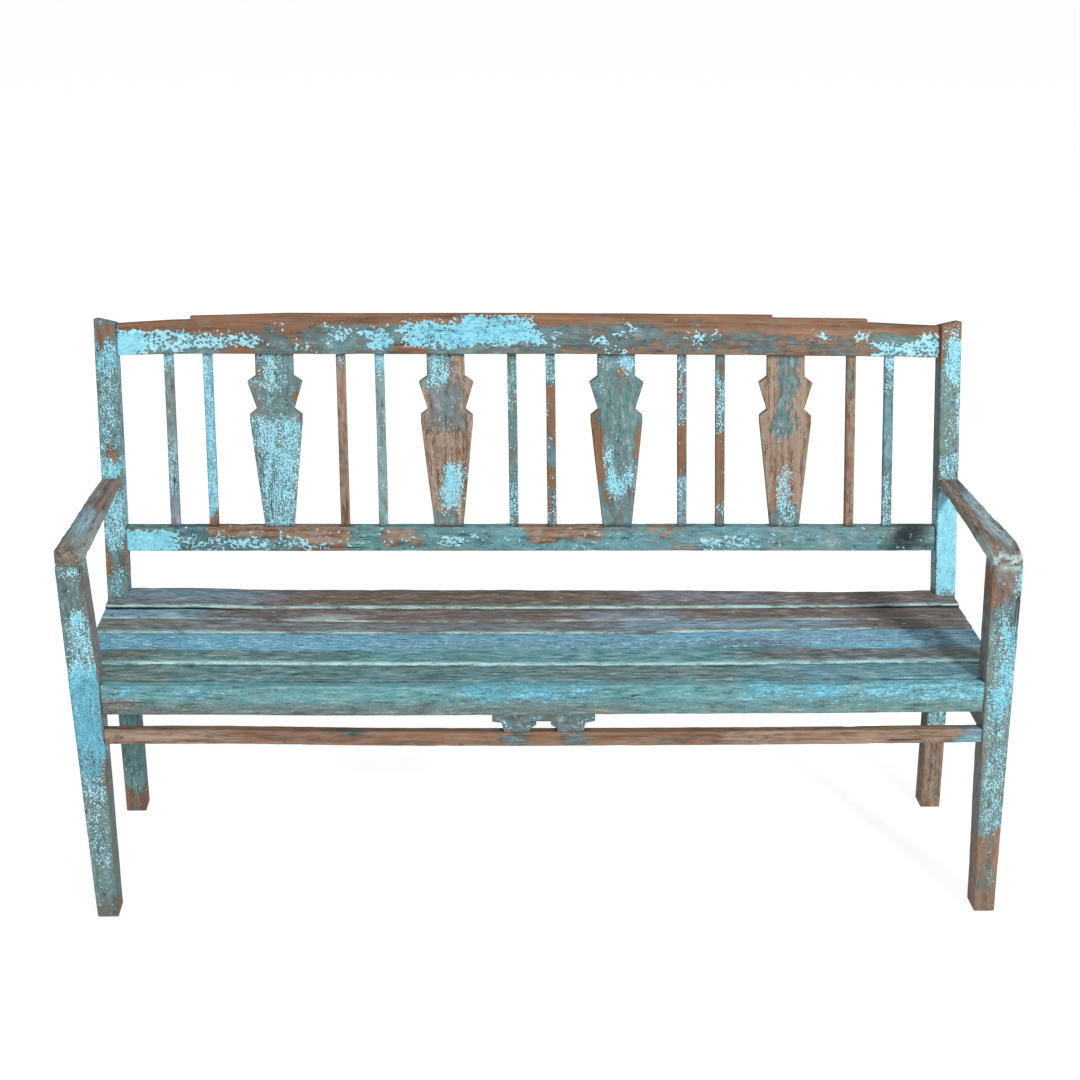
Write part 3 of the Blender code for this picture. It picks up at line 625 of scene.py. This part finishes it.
def paint_fields(paint, skin, run, length):
    """At each point: the amount of each layer of paint and wear, and the undercoat's colour."""
    count = len(skin.points)
    along = skin.shares[:, 0] + stray(skin.grain, run) / length
    amounts = {"bright": np.full(count, paint.bright, float), "bare": np.full(count, paint.bare, float)}
    for layer in ("deep", "film", "split"):
        amounts[layer] = np.zeros(count)
    coat = np.tile(linear(COLOURS[paint.coat]), (count, 1))
    for start, stop, low, high, layers in paint.patches:
        soft_along = min(run / length, PATCH_SOFT_SHARE * (stop - start))
        soft_across = min(PATCH_SOFT_ACROSS, PATCH_SOFT_SHARE * (high - low))
        place = band(along, start, stop, soft_along) * band(skin.shares[:, 1], low, high, soft_across)
        for layer, amount in layers.items():
            if layer in amounts:
                amounts[layer] += amount * place
            else:
                coat += amount * place[:, None] * (linear(COLOURS[layer]) - coat)
    return amounts, coat


def store(mesh, name, kind, field, values):
    """Keep values on a mesh's points for its material."""
    attribute = mesh.attributes.new(name, kind, "POINT")
    attribute.data.foreach_set(field, np.asarray(values, np.float32).ravel())


def dress(node, skin, faces, finish, paint, length):
    """Make the piece that stands for a solid, with its paint kept on its points."""
    mesh = bpy.data.meshes.new(node + "_worn")
    mesh.from_pydata(tilted(skin.points, is_raked(node), 1).tolist(), [], faces)
    mesh.shade_smooth()
    mesh.set_sharp_from_angle(angle=SHARP_ANGLE)
    mesh.materials.append(finish.material)
    amounts, coat = paint_fields(paint, skin, finish.run, length)
    store(mesh, "grain", "FLOAT_VECTOR", "vector", skin.grain)
    for name, values in (*amounts.items(), ("edge", skin.edges), ("grime", skin.grime)):
        store(mesh, name, "FLOAT", "value", values)
    store(mesh, "coat", "FLOAT_COLOR", "color", np.column_stack([coat, np.ones(len(coat))]))
    piece = bpy.data.objects.new(node + "_worn", mesh)
    bpy.context.scene.collection.objects.link(piece)
    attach(piece, "root")
    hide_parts(node)


def make_stick(stick, finish, seed, reshape=None):
    """Build a worn stick and dress it; reshape may move its square points first."""
    skin, per_ring = stick_skin(stick, seed)
    if reshape:
        skin = skin._replace(points=reshape(skin.points))
    faces = tube_faces(len(stick.places), per_ring)
    dress(stick.node, skin, faces, finish, PAINT.get(stick.node, HIDDEN_PAINT), np.ptp(stick.places))


# Materials

class Shader:
    """A material and short ways to add nodes to it."""

    def __init__(self, name):
        self.material = bpy.data.materials.new(name)
        self.material.use_nodes = True
        self.tree = self.material.node_tree
        self.surface = self.tree.nodes["Principled BSDF"]

    def add(self, kind, sockets, **settings):
        """A node with its settings, and its sockets linked or set."""
        made = self.tree.nodes.new("ShaderNode" + kind)
        for key, value in settings.items():
            setattr(made, key, value)
        for key, value in sockets.items():
            self.feed(made.inputs[key], value)
        return made

    def feed(self, socket, value):
        """Link a socket to another one, or set its value."""
        if isinstance(value, bpy.types.NodeSocket):
            self.tree.links.new(value, socket)
        else:
            socket.default_value = value

    def attribute(self, name, output):
        """Values kept on the mesh."""
        return self.add("Attribute", {}, attribute_name=name).outputs[output]

    def sum(self, *terms):
        """Terms added up, each a socket, a number or a (socket, factor) pair."""
        total = 0.0
        for term in terms:
            socket, factor = term if isinstance(term, tuple) else (term, 1.0)
            total = self.add("Math", {0: socket, 1: factor, 2: total}, operation="MULTIPLY_ADD").outputs[0]
        return total

    def product(self, first, second):
        """Two values multiplied."""
        return self.add("Math", {0: first, 1: second}, operation="MULTIPLY").outputs[0]

    def step(self, value, low, high):
        """A soft step from 0 at low to 1 at high."""
        return self.add("MapRange", {"Value": value, "From Min": low, "From Max": high},
                        interpolation_type="SMOOTHSTEP").outputs["Result"]

    def mix(self, share, first, second):
        """Two colours mixed."""
        made = self.add("Mix", {}, data_type="RGBA")
        self.feed(made.inputs[0], share)
        self.feed(made.inputs[6], first)
        self.feed(made.inputs[7], second)
        return made.outputs[2]

    def scaled(self, vector, scales, shift=(0.0, 0.0, 0.0)):
        """A vector stretched along its axes, then shifted."""
        return self.add("VectorMath", {0: vector, 1: scales, 2: shift}, operation="MULTIPLY_ADD").outputs[0]

    def noise(self, vector, scales, detail, roughness=0.55, shift=(0.0, 0.0, 0.0)):
        """Noise about 0, at so many features per metre along each axis."""
        made = self.add("TexNoise", {"Vector": self.scaled(vector, scales, shift), "Scale": 1.0,
                                     "Detail": detail, "Roughness": roughness})
        return self.sum(made.outputs["Fac"], -0.5)

    def pits(self, vector, scales):
        """Distance from the middles of ragged pits, about 0."""
        place = self.scaled(vector, scales)
        wander = self.add("TexNoise", {"Vector": place, "Scale": 0.9, "Detail": 3.0}).outputs["Color"]
        place = self.scaled(wander, PIT_WANDER, place)
        made = self.add("TexVoronoi", {"Vector": place, "Scale": 1.0}, feature="F1")
        return self.sum(made.outputs["Distance"], -0.55)


def flat_colour(colour):
    """A colour out of 255 as a socket value."""
    return (*linear(colour), 1.0)


def times(scales, factor):
    """Scales made finer or coarser."""
    return tuple(factor * scale for scale in scales)


# What a material reads from the mesh, and the noise that it cuts the layers of paint out with
Layers = namedtuple("Layers", "bright bare deep film split edge grime")
Patterns = namedtuple("Patterns", "flakes patches mottle crumbs warmth specks pits")


def paint_patterns(shader, grain, flake_scales, pit_scales):
    """Noise in all sizes that the paint needs."""
    return Patterns(
        flakes=shader.noise(grain, flake_scales, 7.0, 0.62),
        patches=shader.noise(grain, times(flake_scales, 0.55), 7.0, 0.66),
        mottle=shader.noise(grain, times(flake_scales, 1.7), 5.0, 0.60),
        crumbs=shader.noise(grain, times(flake_scales, 3.2), 4.0, 0.60),
        warmth=shader.noise(grain, times(flake_scales, 0.9), 6.0, 0.64, HUE_SHIFT),
        specks=shader.noise(grain, SPECK_SCALES, 2.0),
        pits=shader.pits(grain, pit_scales),
    )


def teak_colour(shader, grain, colours):
    """Wood with long figure, fine fibres and dark pores."""
    dark, middle, light = [flat_colour(colour) for colour in colours]
    figure = shader.noise(grain, FIGURE_SCALES, 6.0, 0.62)
    fibres = shader.noise(grain, FIBRE_SCALES, 3.0)
    tone = shader.sum((figure, 1.8), (fibres, 1.1), 0.5)
    wood = shader.mix(shader.step(tone, -0.05, 0.60), dark, middle)
    wood = shader.mix(shader.step(tone, 0.50, 1.10), wood, light)
    return wood, tone


def stained(shader, wood, tone, coat, film, cut):
    """Bare wood with a stain of the undercoat and a film of dust."""
    stain = shader.step(shader.sum((cut.mottle, 1.4), (cut.crumbs, 0.8)), -0.05, 0.32)
    wood = shader.mix(shader.product(stain, 0.34), wood, coat)
    dusty = shader.step(shader.sum((cut.mottle, 0.7), (cut.crumbs, 0.5), (tone, 0.5)), 0.0, 0.46)
    return shader.mix(shader.product(film, dusty), wood, flat_colour(DUST))


def undercoat(shader, wood, tone, coat, cut, contrast, rim):
    """The faded undercoat: light and dark, warm where wood shows, cool in places and dark along its rim with
    dirt and painted shade.
    """
    dark = shader.mix(0.72, coat, flat_colour(CRACK_AND_SHADE))
    light = shader.mix(0.24 * contrast, coat, WHITE)
    shade = shader.sum((cut.mottle, 1.2 * contrast), (cut.specks, 0.6), (cut.crumbs, 0.8 * contrast),
                       (tone, 0.2), -0.1)
    under = shader.mix(shader.step(shade, 0.0, 0.40), coat, light)
    under = shader.mix(shader.step(shade, 0.0, -0.40), under, dark)
    under = shader.mix(shader.product(shader.step(cut.warmth, 0.02, 0.20), 0.50), under, wood)
    cool = shader.product(shader.step(cut.warmth, -0.04, -0.22), 0.38)
    under = shader.mix(cool, under, flat_colour(COOL))
    return shader.mix(rim, under, dark)


def top_coat(shader, bright, deep, cut):
    """The turquoise top coat: deeper and lighter in places, chalky where little of it is left."""
    glow = shader.sum((cut.mottle, 1.3), (cut.specks, 0.8), (cut.crumbs, 0.8), (cut.pits, 0.35),
                      (deep, -0.55), 0.5)
    paint = shader.mix(shader.step(glow, 0.0, 0.5), flat_colour(TURQUOISE_DEEP), flat_colour(TURQUOISE))
    paint = shader.mix(shader.step(glow, 0.5, 1.0), paint, flat_colour(TURQUOISE_LIGHT))
    chalky = shader.step(shader.sum(bright, (cut.flakes, 0.6), (deep, 0.3)), 0.85, 0.40)
    return shader.mix(shader.product(chalky, 0.40), paint, flat_colour(CHALK))


def check_lines(shader, grain, split):
    """Thin dark checks that open along the grain in places."""
    line = shader.noise(grain, CHECK_SCALES, 2.0)
    where = shader.step(shader.sum(shader.noise(grain, CHECK_PLACE_SCALES, 2.0), (split, 0.30)), 0.02, 0.16)
    away = shader.add("Math", {0: line}, operation="ABSOLUTE").outputs[0]
    return shader.product(shader.step(shader.sum(away, (split, -0.018)), 0.012, 0.004), where)


def old_paint(name, wood_colours, flake_scales, pit_scales, pit_depth, soft, contrast):
    """Teak under a faded undercoat and a crackled top coat, placed by the values on the mesh."""
    shader = Shader(name)
    grain = shader.attribute("grain", "Vector")
    coat = shader.attribute("coat", "Color")
    layer = Layers(*[shader.attribute(key, "Fac") for key in Layers._fields])
    cut = paint_patterns(shader, grain, flake_scales, pit_scales)

    rubbed = shader.product(layer.edge, shader.sum((cut.patches, 1.6), 0.55))
    cover = shader.sum(layer.bright, cut.flakes, (cut.crumbs, 0.6), (cut.pits, pit_depth), (cut.specks, 0.3),
                       (rubbed, -0.2))
    top_mask = shader.step(cover, 0.5 - soft, 0.5 + soft)
    worn = shader.sum(layer.bare, (cut.patches, 1.4), (cut.crumbs, 1.1), (cut.specks, 0.5), (rubbed, 0.3))
    bare_mask = shader.step(worn, 0.44, 0.56)
    # The rim: a dark line round flakes of top coat and round bare wood, dirt with painted shade under the
    # lifted edges of paint
    rim = shader.sum((shader.step(cover, 0.34, 0.46), 0.45), (shader.step(worn, 0.32, 0.44), 0.30))

    wood, tone = teak_colour(shader, grain, wood_colours)
    wood = stained(shader, wood, tone, coat, layer.film, cut)
    colour = shader.mix(bare_mask, undercoat(shader, wood, tone, coat, cut, contrast, rim), wood)
    colour = shader.mix(top_mask, colour, top_coat(shader, layer.bright, layer.deep, cut))
    checks = check_lines(shader, grain, layer.split)
    # Painted shade in the joints and slat gaps, and the checks in the grain, darken towards the crack colour
    colour = shader.mix(shader.sum(layer.grime, checks), colour, flat_colour(CRACK_AND_SHADE))
    shader.feed(shader.surface.inputs["Base Color"], colour)

    covered = shader.sum((bare_mask, -1.0), 1.0)
    height = shader.sum((top_mask, 0.5), (covered, 0.3), (tone, 0.12), (cut.specks, 0.25), (checks, -0.8))
    bump = shader.add("Bump", {"Strength": BUMP_STRENGTH, "Distance": BUMP_HEIGHT, "Height": height})
    shader.feed(shader.surface.inputs["Normal"], bump.outputs["Normal"])
    shader.feed(shader.surface.inputs["Roughness"], shader.sum((top_mask, -0.16), (cut.mottle, 0.25), 0.70))
    shader.surface.inputs["Specular IOR Level"].default_value = SHEEN
    return shader.material


# A finish is a material, and how far the borders of patches run along the grain
Finish = namedtuple("Finish", "material run")
FRAME_FINISH = Finish(run=0.030, material=old_paint(
    "frame_paint", TEAK_COLOURS, flake_scales=(30.0, 66.0, 66.0), pit_scales=(340.0, 390.0, 390.0),
    pit_depth=1.15, soft=0.06, contrast=1.0))
BACK_RAIL_FINISH = Finish(run=0.030, material=old_paint(
    "back_rail_paint", TEAK_COLOURS, flake_scales=(26.0, 60.0, 60.0), pit_scales=(150.0, 190.0, 190.0),
    pit_depth=0.95, soft=0.07, contrast=1.0))
RAIL_FINISH = Finish(run=0.060, material=old_paint(
    "rail_paint", TEAK_COLOURS, flake_scales=(18.0, 105.0, 105.0), pit_scales=(130.0, 320.0, 320.0),
    pit_depth=0.45, soft=0.20, contrast=1.0))
ARM_FINISH = Finish(run=0.060, material=old_paint(
    "arm_paint", HANDLED_COLOURS, flake_scales=(12.0, 90.0, 90.0), pit_scales=(90.0, 300.0, 300.0),
    pit_depth=0.40, soft=0.12, contrast=1.3))
SEAT_FINISH = Finish(run=0.090, material=old_paint(
    "seat_paint", WEATHERED_COLOURS, flake_scales=(19.0, 105.0, 105.0), pit_scales=(110.0, 330.0, 330.0),
    pit_depth=0.60, soft=0.10, contrast=1.4))


# Pieces

X, Y, Z = 0, 1, 2
boxes = {node: square_box(node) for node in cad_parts}


def even(node, axis):
    """Bounds of a piece whose section stays the same along an axis."""
    low, high = boxes[node]
    p_axis, q_axis = (axis + 1) % 3, (axis + 2) % 3
    span = (low[p_axis], high[p_axis], low[q_axis], high[q_axis])
    return lambda place: span


def upright(node, left, right):
    """Bounds of an upright, with its left and right face as functions of the height."""
    low, high = boxes[node]
    return lambda z: (left(z), right(z), low[1], high[1])


def housed(start, stop):
    """Where a piece between two others starts and stops, a little inside them."""
    return start - JOINT_OVERLAP, stop + JOINT_OVERLAP


def bowed(node, bow, after=None):
    """A reshape that lowers a piece by its bow; another reshape may come first."""
    low, high = boxes[node]
    depth = between(BOW_SHARES, bow)

    def reshape(points):
        if after:
            points = after(points)
        points[:, 2] -= depth((points[:, 0] - low[0]) / (high[0] - low[0]))
        return points

    return reshape


def cut_top(node, fall):
    """A top cut square to the raked face, which may also fall towards the bench's middle."""
    low, high = boxes[node]

    def reshape(points):
        near_top = np.clip(1.0 - (high[2] - points[:, 2]) / CUT_REACH, 0.0, 1.0)
        inwards = (points[:, 0] - low[0]) / (high[0] - low[0])
        if low[0] > 0:
            inwards = 1.0 - inwards
        points[:, 2] -= near_top * (RAKE * (points[:, 1] - low[1]) + fall * inwards)
        return points

    return reshape


def make_posts():
    """The two rear legs, which run up into the back posts."""
    for number, node in enumerate(("rear_post_left", "rear_post_right")):
        low, high = boxes[node]
        places = stations_along(low[2], high[2], FRAME_WEAR, (SEAT_TOP,))
        post = Stick(node, Z, places, even(node, Z), FRAME_WEAR, 0, "")
        make_stick(post, FRAME_FINISH, POST_SEED + number, cut_top(node, POST_TOP_FALL))


def between_posts():
    """The inner faces of the left and right rear post."""
    return boxes["rear_post_left"][1][0], boxes["rear_post_right"][0][0]


def leg_faces(node):
    """Functions for a front leg's left and right face at a height, and its top."""
    outline = front_outline(node)
    ends = levels(outline, 1)[[0, -1]]
    middle = between(ends[:, 0], ends[:, 1:].mean(axis=1))
    faces = []
    for side in (-1, 1):
        corners = outline[side * (outline[:, 0] - middle(outline[:, 1])) > 0]
        corners = corners[np.argsort(corners[:, 1])]
        faces.append(between(corners[:, 1], corners[:, 0]))
    return faces[0], faces[1], ends[1, 0]


def between_legs(height):
    """The inner faces of the left and right front leg at a height."""
    return float(leg_faces("front_leg_left")[1](height)), float(leg_faces("front_leg_right")[0](height))


def make_front_legs():
    """The tapered front legs, up to the armrests."""
    for number, node in enumerate(("front_leg_left", "front_leg_right")):
        left, right, top = leg_faces(node)
        places = stations_along(boxes[node][0][2], top + JOINT_OVERLAP, FRAME_WEAR)
        leg = Stick(node, Z, places, upright(node, left, right), FRAME_WEAR, 0, "")
        make_stick(leg, FRAME_FINISH, LEG_SEED + number)


def rounded_off(y, nose, radius):
    """How far an armrest's corner is rounded off near its nose."""
    left = np.clip(radius - (y - nose), 0.0, radius)
    return radius - math.sqrt(radius ** 2 - left ** 2)


def make_armrest(side, seed):
    """A flat armrest, with a rounded nose over the front leg."""
    node = "armrest_" + side
    points = square_points(node)
    nose, nose_top = boxes[node][0][1], boxes[node][1][2]
    # The solid's own eased nose, which is the first row, is left out: the worn nose is rounded off below.
    rows = levels(points[:, :2], 1)
    rows = rows[rows[:, 2] - rows[:, 1] > ARM_LEAST][1:]
    back_top = points[points[:, 1] > rows[-1, 0] - BACK_END_REACH][:, 2].max()
    post_face = boxes["rear_post_" + side][0][1] + RAKE * (back_top - SEAT_TOP)
    top = between((nose, post_face), (nose_top, back_top))
    underside = leg_faces("front_leg_" + side)[2]
    left, right = between(rows[:, 0], rows[:, 1]), between(rows[:, 0], rows[:, 2])
    left_round, right_round = NOSE_ROUNDS[side]

    def span(y):
        near_nose = max(0.0, 1.0 - (y - nose) / NOSE_REACH)
        return (underside, top(y) - NOSE_WORN[side] * near_nose ** 2,
                left(y) + rounded_off(y, nose, left_round), right(y) - rounded_off(y, nose, right_round))

    knees = [*rows[:, 0], *(nose + share * NOSE_OUTER for share in NOSE_STEPS)]
    places = stations_along(nose, post_face + JOINT_OVERLAP, ARM_WEAR, knees)
    make_stick(Stick(node, Y, places, span, ARM_WEAR, 1, ""), ARM_FINISH, seed)


def make_plain_rail(node, ends, seed, finish, reshape=None):
    """A rail of even section between two uprights."""
    places = stations_along(*housed(*ends), FRAME_WEAR)
    rail = Stick(node, X, places, even(node, X), FRAME_WEAR, 1, "ends")
    make_stick(rail, finish, seed, reshape)


def make_rails():
    """The plain rails that run along the bench."""
    for number, node in enumerate(("lower_back_rail", "rear_seat_rail")):
        make_plain_rail(node, between_posts(), BACK_RAIL_SEED + number, BACK_RAIL_FINISH)
    for number, (node, bow) in enumerate((("front_apron", APRON_BOW), ("front_stretcher", STRETCHER_BOW))):
        middle = (boxes[node][0][2] + boxes[node][1][2]) / 2
        make_plain_rail(node, between_legs(middle), FRONT_RAIL_SEED + number, RAIL_FINISH, bowed(node, bow))


def make_crest():
    """The crest rail with its stepped top."""
    node = "crest_rail"
    low, high = boxes[node]
    outline = front_outline(node)
    top = outline[outline[:, 1] > (low[2] + high[2]) / 2]
    top = top[np.argsort(top[:, 0])]
    height = between(top[:, 0], top[:, 1] - CREST_WORN)
    places = stations_along(*housed(*between_posts()), FRAME_WEAR, top[:, 0])
    crest = Stick(node, X, places, lambda x: (low[1], high[1], low[2], height(x)), FRAME_WEAR, 1, "ends")
    make_stick(crest, BACK_RAIL_FINISH, CREST_SEED, bowed(node, CREST_BOW, cut_top(node, 0.0)))


def make_bracket():
    """The shaped bracket between apron and stretcher."""
    node = "stretcher_bracket"
    low, high = boxes[node]
    outline = front_outline(node)
    top = outline[:, 1].max()
    lower = outline[outline[:, 1] < top - SAME]
    lower = np.vstack([lower, [[low[0], lower[:, 1].max()], [high[0], lower[:, 1].max()]]])
    places, heights = [], []
    for x, lowest, highest in levels(lower, 0):
        falls = heights and heights[-1] > (lowest + highest) / 2
        places += [x - SAME, x + SAME]
        heights += [highest, lowest] if falls else [lowest, highest]
    foot = between(places, heights)
    places = stations_along(low[0], high[0], THIN_WEAR, places)
    sunk = np.array((0.0, 0.0, BRACKET_SINK))

    def span(x):
        return low[1], high[1], foot(x), top + JOINT_OVERLAP

    bracket = Stick(node, X, places, span, THIN_WEAR, 1, "")
    make_stick(bracket, FRAME_FINISH, BRACKET_SEED, lambda points: points - sunk)


def make_uprights():
    """Splats and spindles between the lower rail and the crest."""
    foot, head = housed(boxes["lower_back_rail"][1][2], boxes["crest_rail"][0][2])
    names = sorted(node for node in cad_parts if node.startswith(("back_splat", "back_spindle")))
    for number, node in enumerate(names):
        rows = levels(front_outline(node), 1)
        left, right = between(rows[:, 0], rows[:, 1]), between(rows[:, 0], rows[:, 2])
        places = stations_along(foot, head, THIN_WEAR, rows[:, 0])
        stick = Stick(node, Z, places, upright(node, left, right), THIN_WEAR, 0, "ends")
        make_stick(stick, FRAME_FINISH, UPRIGHT_SEED + number)


def make_slat(number, drop):
    """A seat slat, cut back where it meets the legs or the posts."""
    node = "seat_slat_%d" % number
    low, high = boxes[node]
    leg_back, post_front = boxes["front_leg_left"][1][1], boxes["rear_post_left"][0][1]
    legs, posts = between_legs(SEAT_TOP), between_posts()

    def along(shares, values):
        return between(low[0] + (high[0] - low[0]) * np.array(shares), values)

    ahead, behind = [along(SEAM_SHARES, seam) for seam in SEAMS[number - 1:number + 1]]
    lift = along(LIFT_SHARES, np.multiply(LIFT, number == LIFTED_SLAT))

    def span(x):
        front, back = low[1] + ahead(x), high[1] + behind(x)
        if front < leg_back and not legs[0] < x < legs[1]:
            front = leg_back + JOINT_OVERLAP
        if back > post_front and not posts[0] < x < posts[1]:
            back = post_front - JOINT_OVERLAP
        return front, back, low[2], high[2] - drop + lift(x)

    knees = [x + shift for x in (*legs, *posts) for shift in (-SAME, SAME)]
    places = stations_along(low[0], high[0], SLAT_WEAR, knees)
    slat = Stick(node, X, places, span, SLAT_WEAR, 0, "sides")
    make_stick(slat, SEAT_FINISH, SLAT_SEED + number, bowed(node, SEAT_BOW))


def make_hidden_rails():
    """Side rails and bearer, which carry the slats from below."""
    spans = {
        "side_seat_rail_left": (boxes["front_leg_left"][1][1], boxes["rear_post_left"][0][1]),
        "side_seat_rail_right": (boxes["front_leg_right"][1][1], boxes["rear_post_right"][0][1]),
        "seat_bearer": (boxes["front_apron"][1][1], boxes["rear_seat_rail"][0][1]),
    }
    for number, (node, ends) in enumerate(spans.items()):
        places = stations_along(*housed(*ends), FRAME_WEAR)
        rail = Stick(node, Y, places, even(node, Y), FRAME_WEAR, 0, "")
        make_stick(rail, FRAME_FINISH, HIDDEN_RAIL_SEED + number)


def make_peg(number, node):
    """A peg with a slightly domed head, at one end of a slat."""
    low, high = boxes[node]
    centre = (low + high) / 2
    radius = (high[0] - low[0]) / 2
    end = 0 if node.endswith("left") else -1
    slat = int(node.split("_")[2])
    lift = LIFT[end] if slat == LIFTED_SLAT else 0.0
    top = high[2] - SLAT_DROPS[slat - 1] - SEAT_BOW[end] + lift
    profile = [(low[2], PEG_FOOT), (low[2] + radius, 1.0)]
    profile += [(top + rise, share) for rise, share in PEG_HEAD]
    turns = [2 * math.pi * step / PEG_SIDES for step in range(PEG_SIDES)]
    points = np.array([(centre[0] + share * radius * math.cos(turn),
                        centre[1] + share * radius * math.sin(turn), z)
                       for z, share in profile for turn in turns])
    grain = points[:, [2, 0, 1]] + PEG_GRAIN_STEP * number
    nothing = np.zeros(len(points))
    skin = Skin(points, np.full((len(points), 2), 0.5), grain, nothing, nothing)
    dress(node, skin, tube_faces(len(profile), PEG_SIDES), SEAT_FINISH, HIDDEN_PAINT, high[2] - low[2])


make_posts()
make_front_legs()
for number, side in enumerate(("left", "right")):
    make_armrest(side, ARM_SEED + number)
make_rails()
make_crest()
make_bracket()
make_uprights()
for number, drop in enumerate(SLAT_DROPS, start=1):
    make_slat(number, drop)
make_hidden_rails()
for number, node in enumerate(sorted(name for name in boxes if name.startswith("slat_peg"))):
    make_peg(number, node)


# Stage

def make_floor():
    """A plain white floor that keeps a faint shadow."""
    half = FLOOR_SIZE / 2
    corners = [(-half, -half, 0), (half, -half, 0), (half, half, 0), (-half, half, 0)]
    mesh = bpy.data.meshes.new("floor")
    mesh.from_pydata(corners, [], [(0, 1, 2, 3)])
    shader = Shader("floor_white")
    shader.surface.inputs["Roughness"].default_value = 1.0
    shader.surface.inputs["Specular IOR Level"].default_value = 0.0
    rays = shader.add("LightPath", {}).outputs
    seen = rays["Is Camera Ray"]
    for kind in ("Is Glossy Ray", "Is Transmission Ray"):
        seen = shader.add("Math", {0: seen, 1: rays[kind]}, operation="MAXIMUM").outputs[0]
    white = [(level, level, level, 1.0) for level in (FLOOR_WHITE, FLOOR_SEEN)]
    shader.feed(shader.surface.inputs["Base Color"], shader.mix(seen, *white))
    glow = shader.add("Emission", {"Color": WHITE, "Strength": shader.product(seen, FLOOR_GLOW)})
    both = shader.add("AddShader", {0: shader.surface.outputs[0], 1: glow.outputs[0]})
    shader.tree.links.new(both.outputs[0], shader.tree.nodes["Material Output"].inputs["Surface"])
    mesh.materials.append(shader.material)
    floor = bpy.data.objects.new("floor", mesh)
    bpy.context.scene.collection.objects.link(floor)


def make_light(name, place, size, power):
    """A soft square lamp aimed at the bench."""
    lamp = bpy.data.lights.new(name, "AREA")
    lamp.size = size
    lamp.energy = power
    holder = bpy.data.objects.new(name, lamp)
    holder.location = place
    holder.rotation_mode = "QUATERNION"
    holder.rotation_quaternion = (LIGHT_TARGET - place).to_track_quat("-Z", "Y")
    bpy.context.scene.collection.objects.link(holder)


def make_world():
    """Even white light from all round, and white where it is seen itself."""
    world = bpy.data.worlds.new("studio")
    world.use_nodes = True
    tree = world.node_tree
    rays = tree.nodes.new("ShaderNodeLightPath")
    strength = tree.nodes.new("ShaderNodeMapRange")
    strength.inputs["To Min"].default_value = WORLD_STRENGTH
    strength.inputs["To Max"].default_value = 1.0
    tree.links.new(rays.outputs["Is Camera Ray"], strength.inputs["Value"])
    background = tree.nodes["Background"]
    background.inputs["Color"].default_value = WHITE
    tree.links.new(strength.outputs["Result"], background.inputs["Strength"])
    bpy.context.scene.world = world


def make_camera():
    """The camera at the photograph's viewing angle."""
    camera = bpy.data.cameras.new("camera")
    camera.sensor_width = SENSOR_WIDTH
    camera.lens = FOCAL_LENGTH / PICTURE_SIDE * SENSOR_WIDTH
    camera.shift_x = (PICTURE_SIDE / 2 - OPTICAL_CENTRE[0]) / PICTURE_SIDE
    camera.shift_y = (OPTICAL_CENTRE[1] - PICTURE_SIDE / 2) / PICTURE_SIDE
    holder = bpy.data.objects.new("camera", camera)
    holder.matrix_world = (Matrix.Translation(CAMERA_PLACE) @ Matrix.Rotation(-CAMERA_YAW, 4, "Z")
                           @ Matrix.Rotation(math.pi / 2 - CAMERA_PITCH, 4, "X")
                           @ Matrix.Rotation(CAMERA_ROLL, 4, "Z"))
    bpy.context.scene.collection.objects.link(holder)
    bpy.context.scene.camera = holder


make_floor()
for name, lamp in LAMPS.items():
    make_light(name, *lamp)
make_world()
make_camera()
bpy.context.scene.view_settings.view_transform = "Standard"
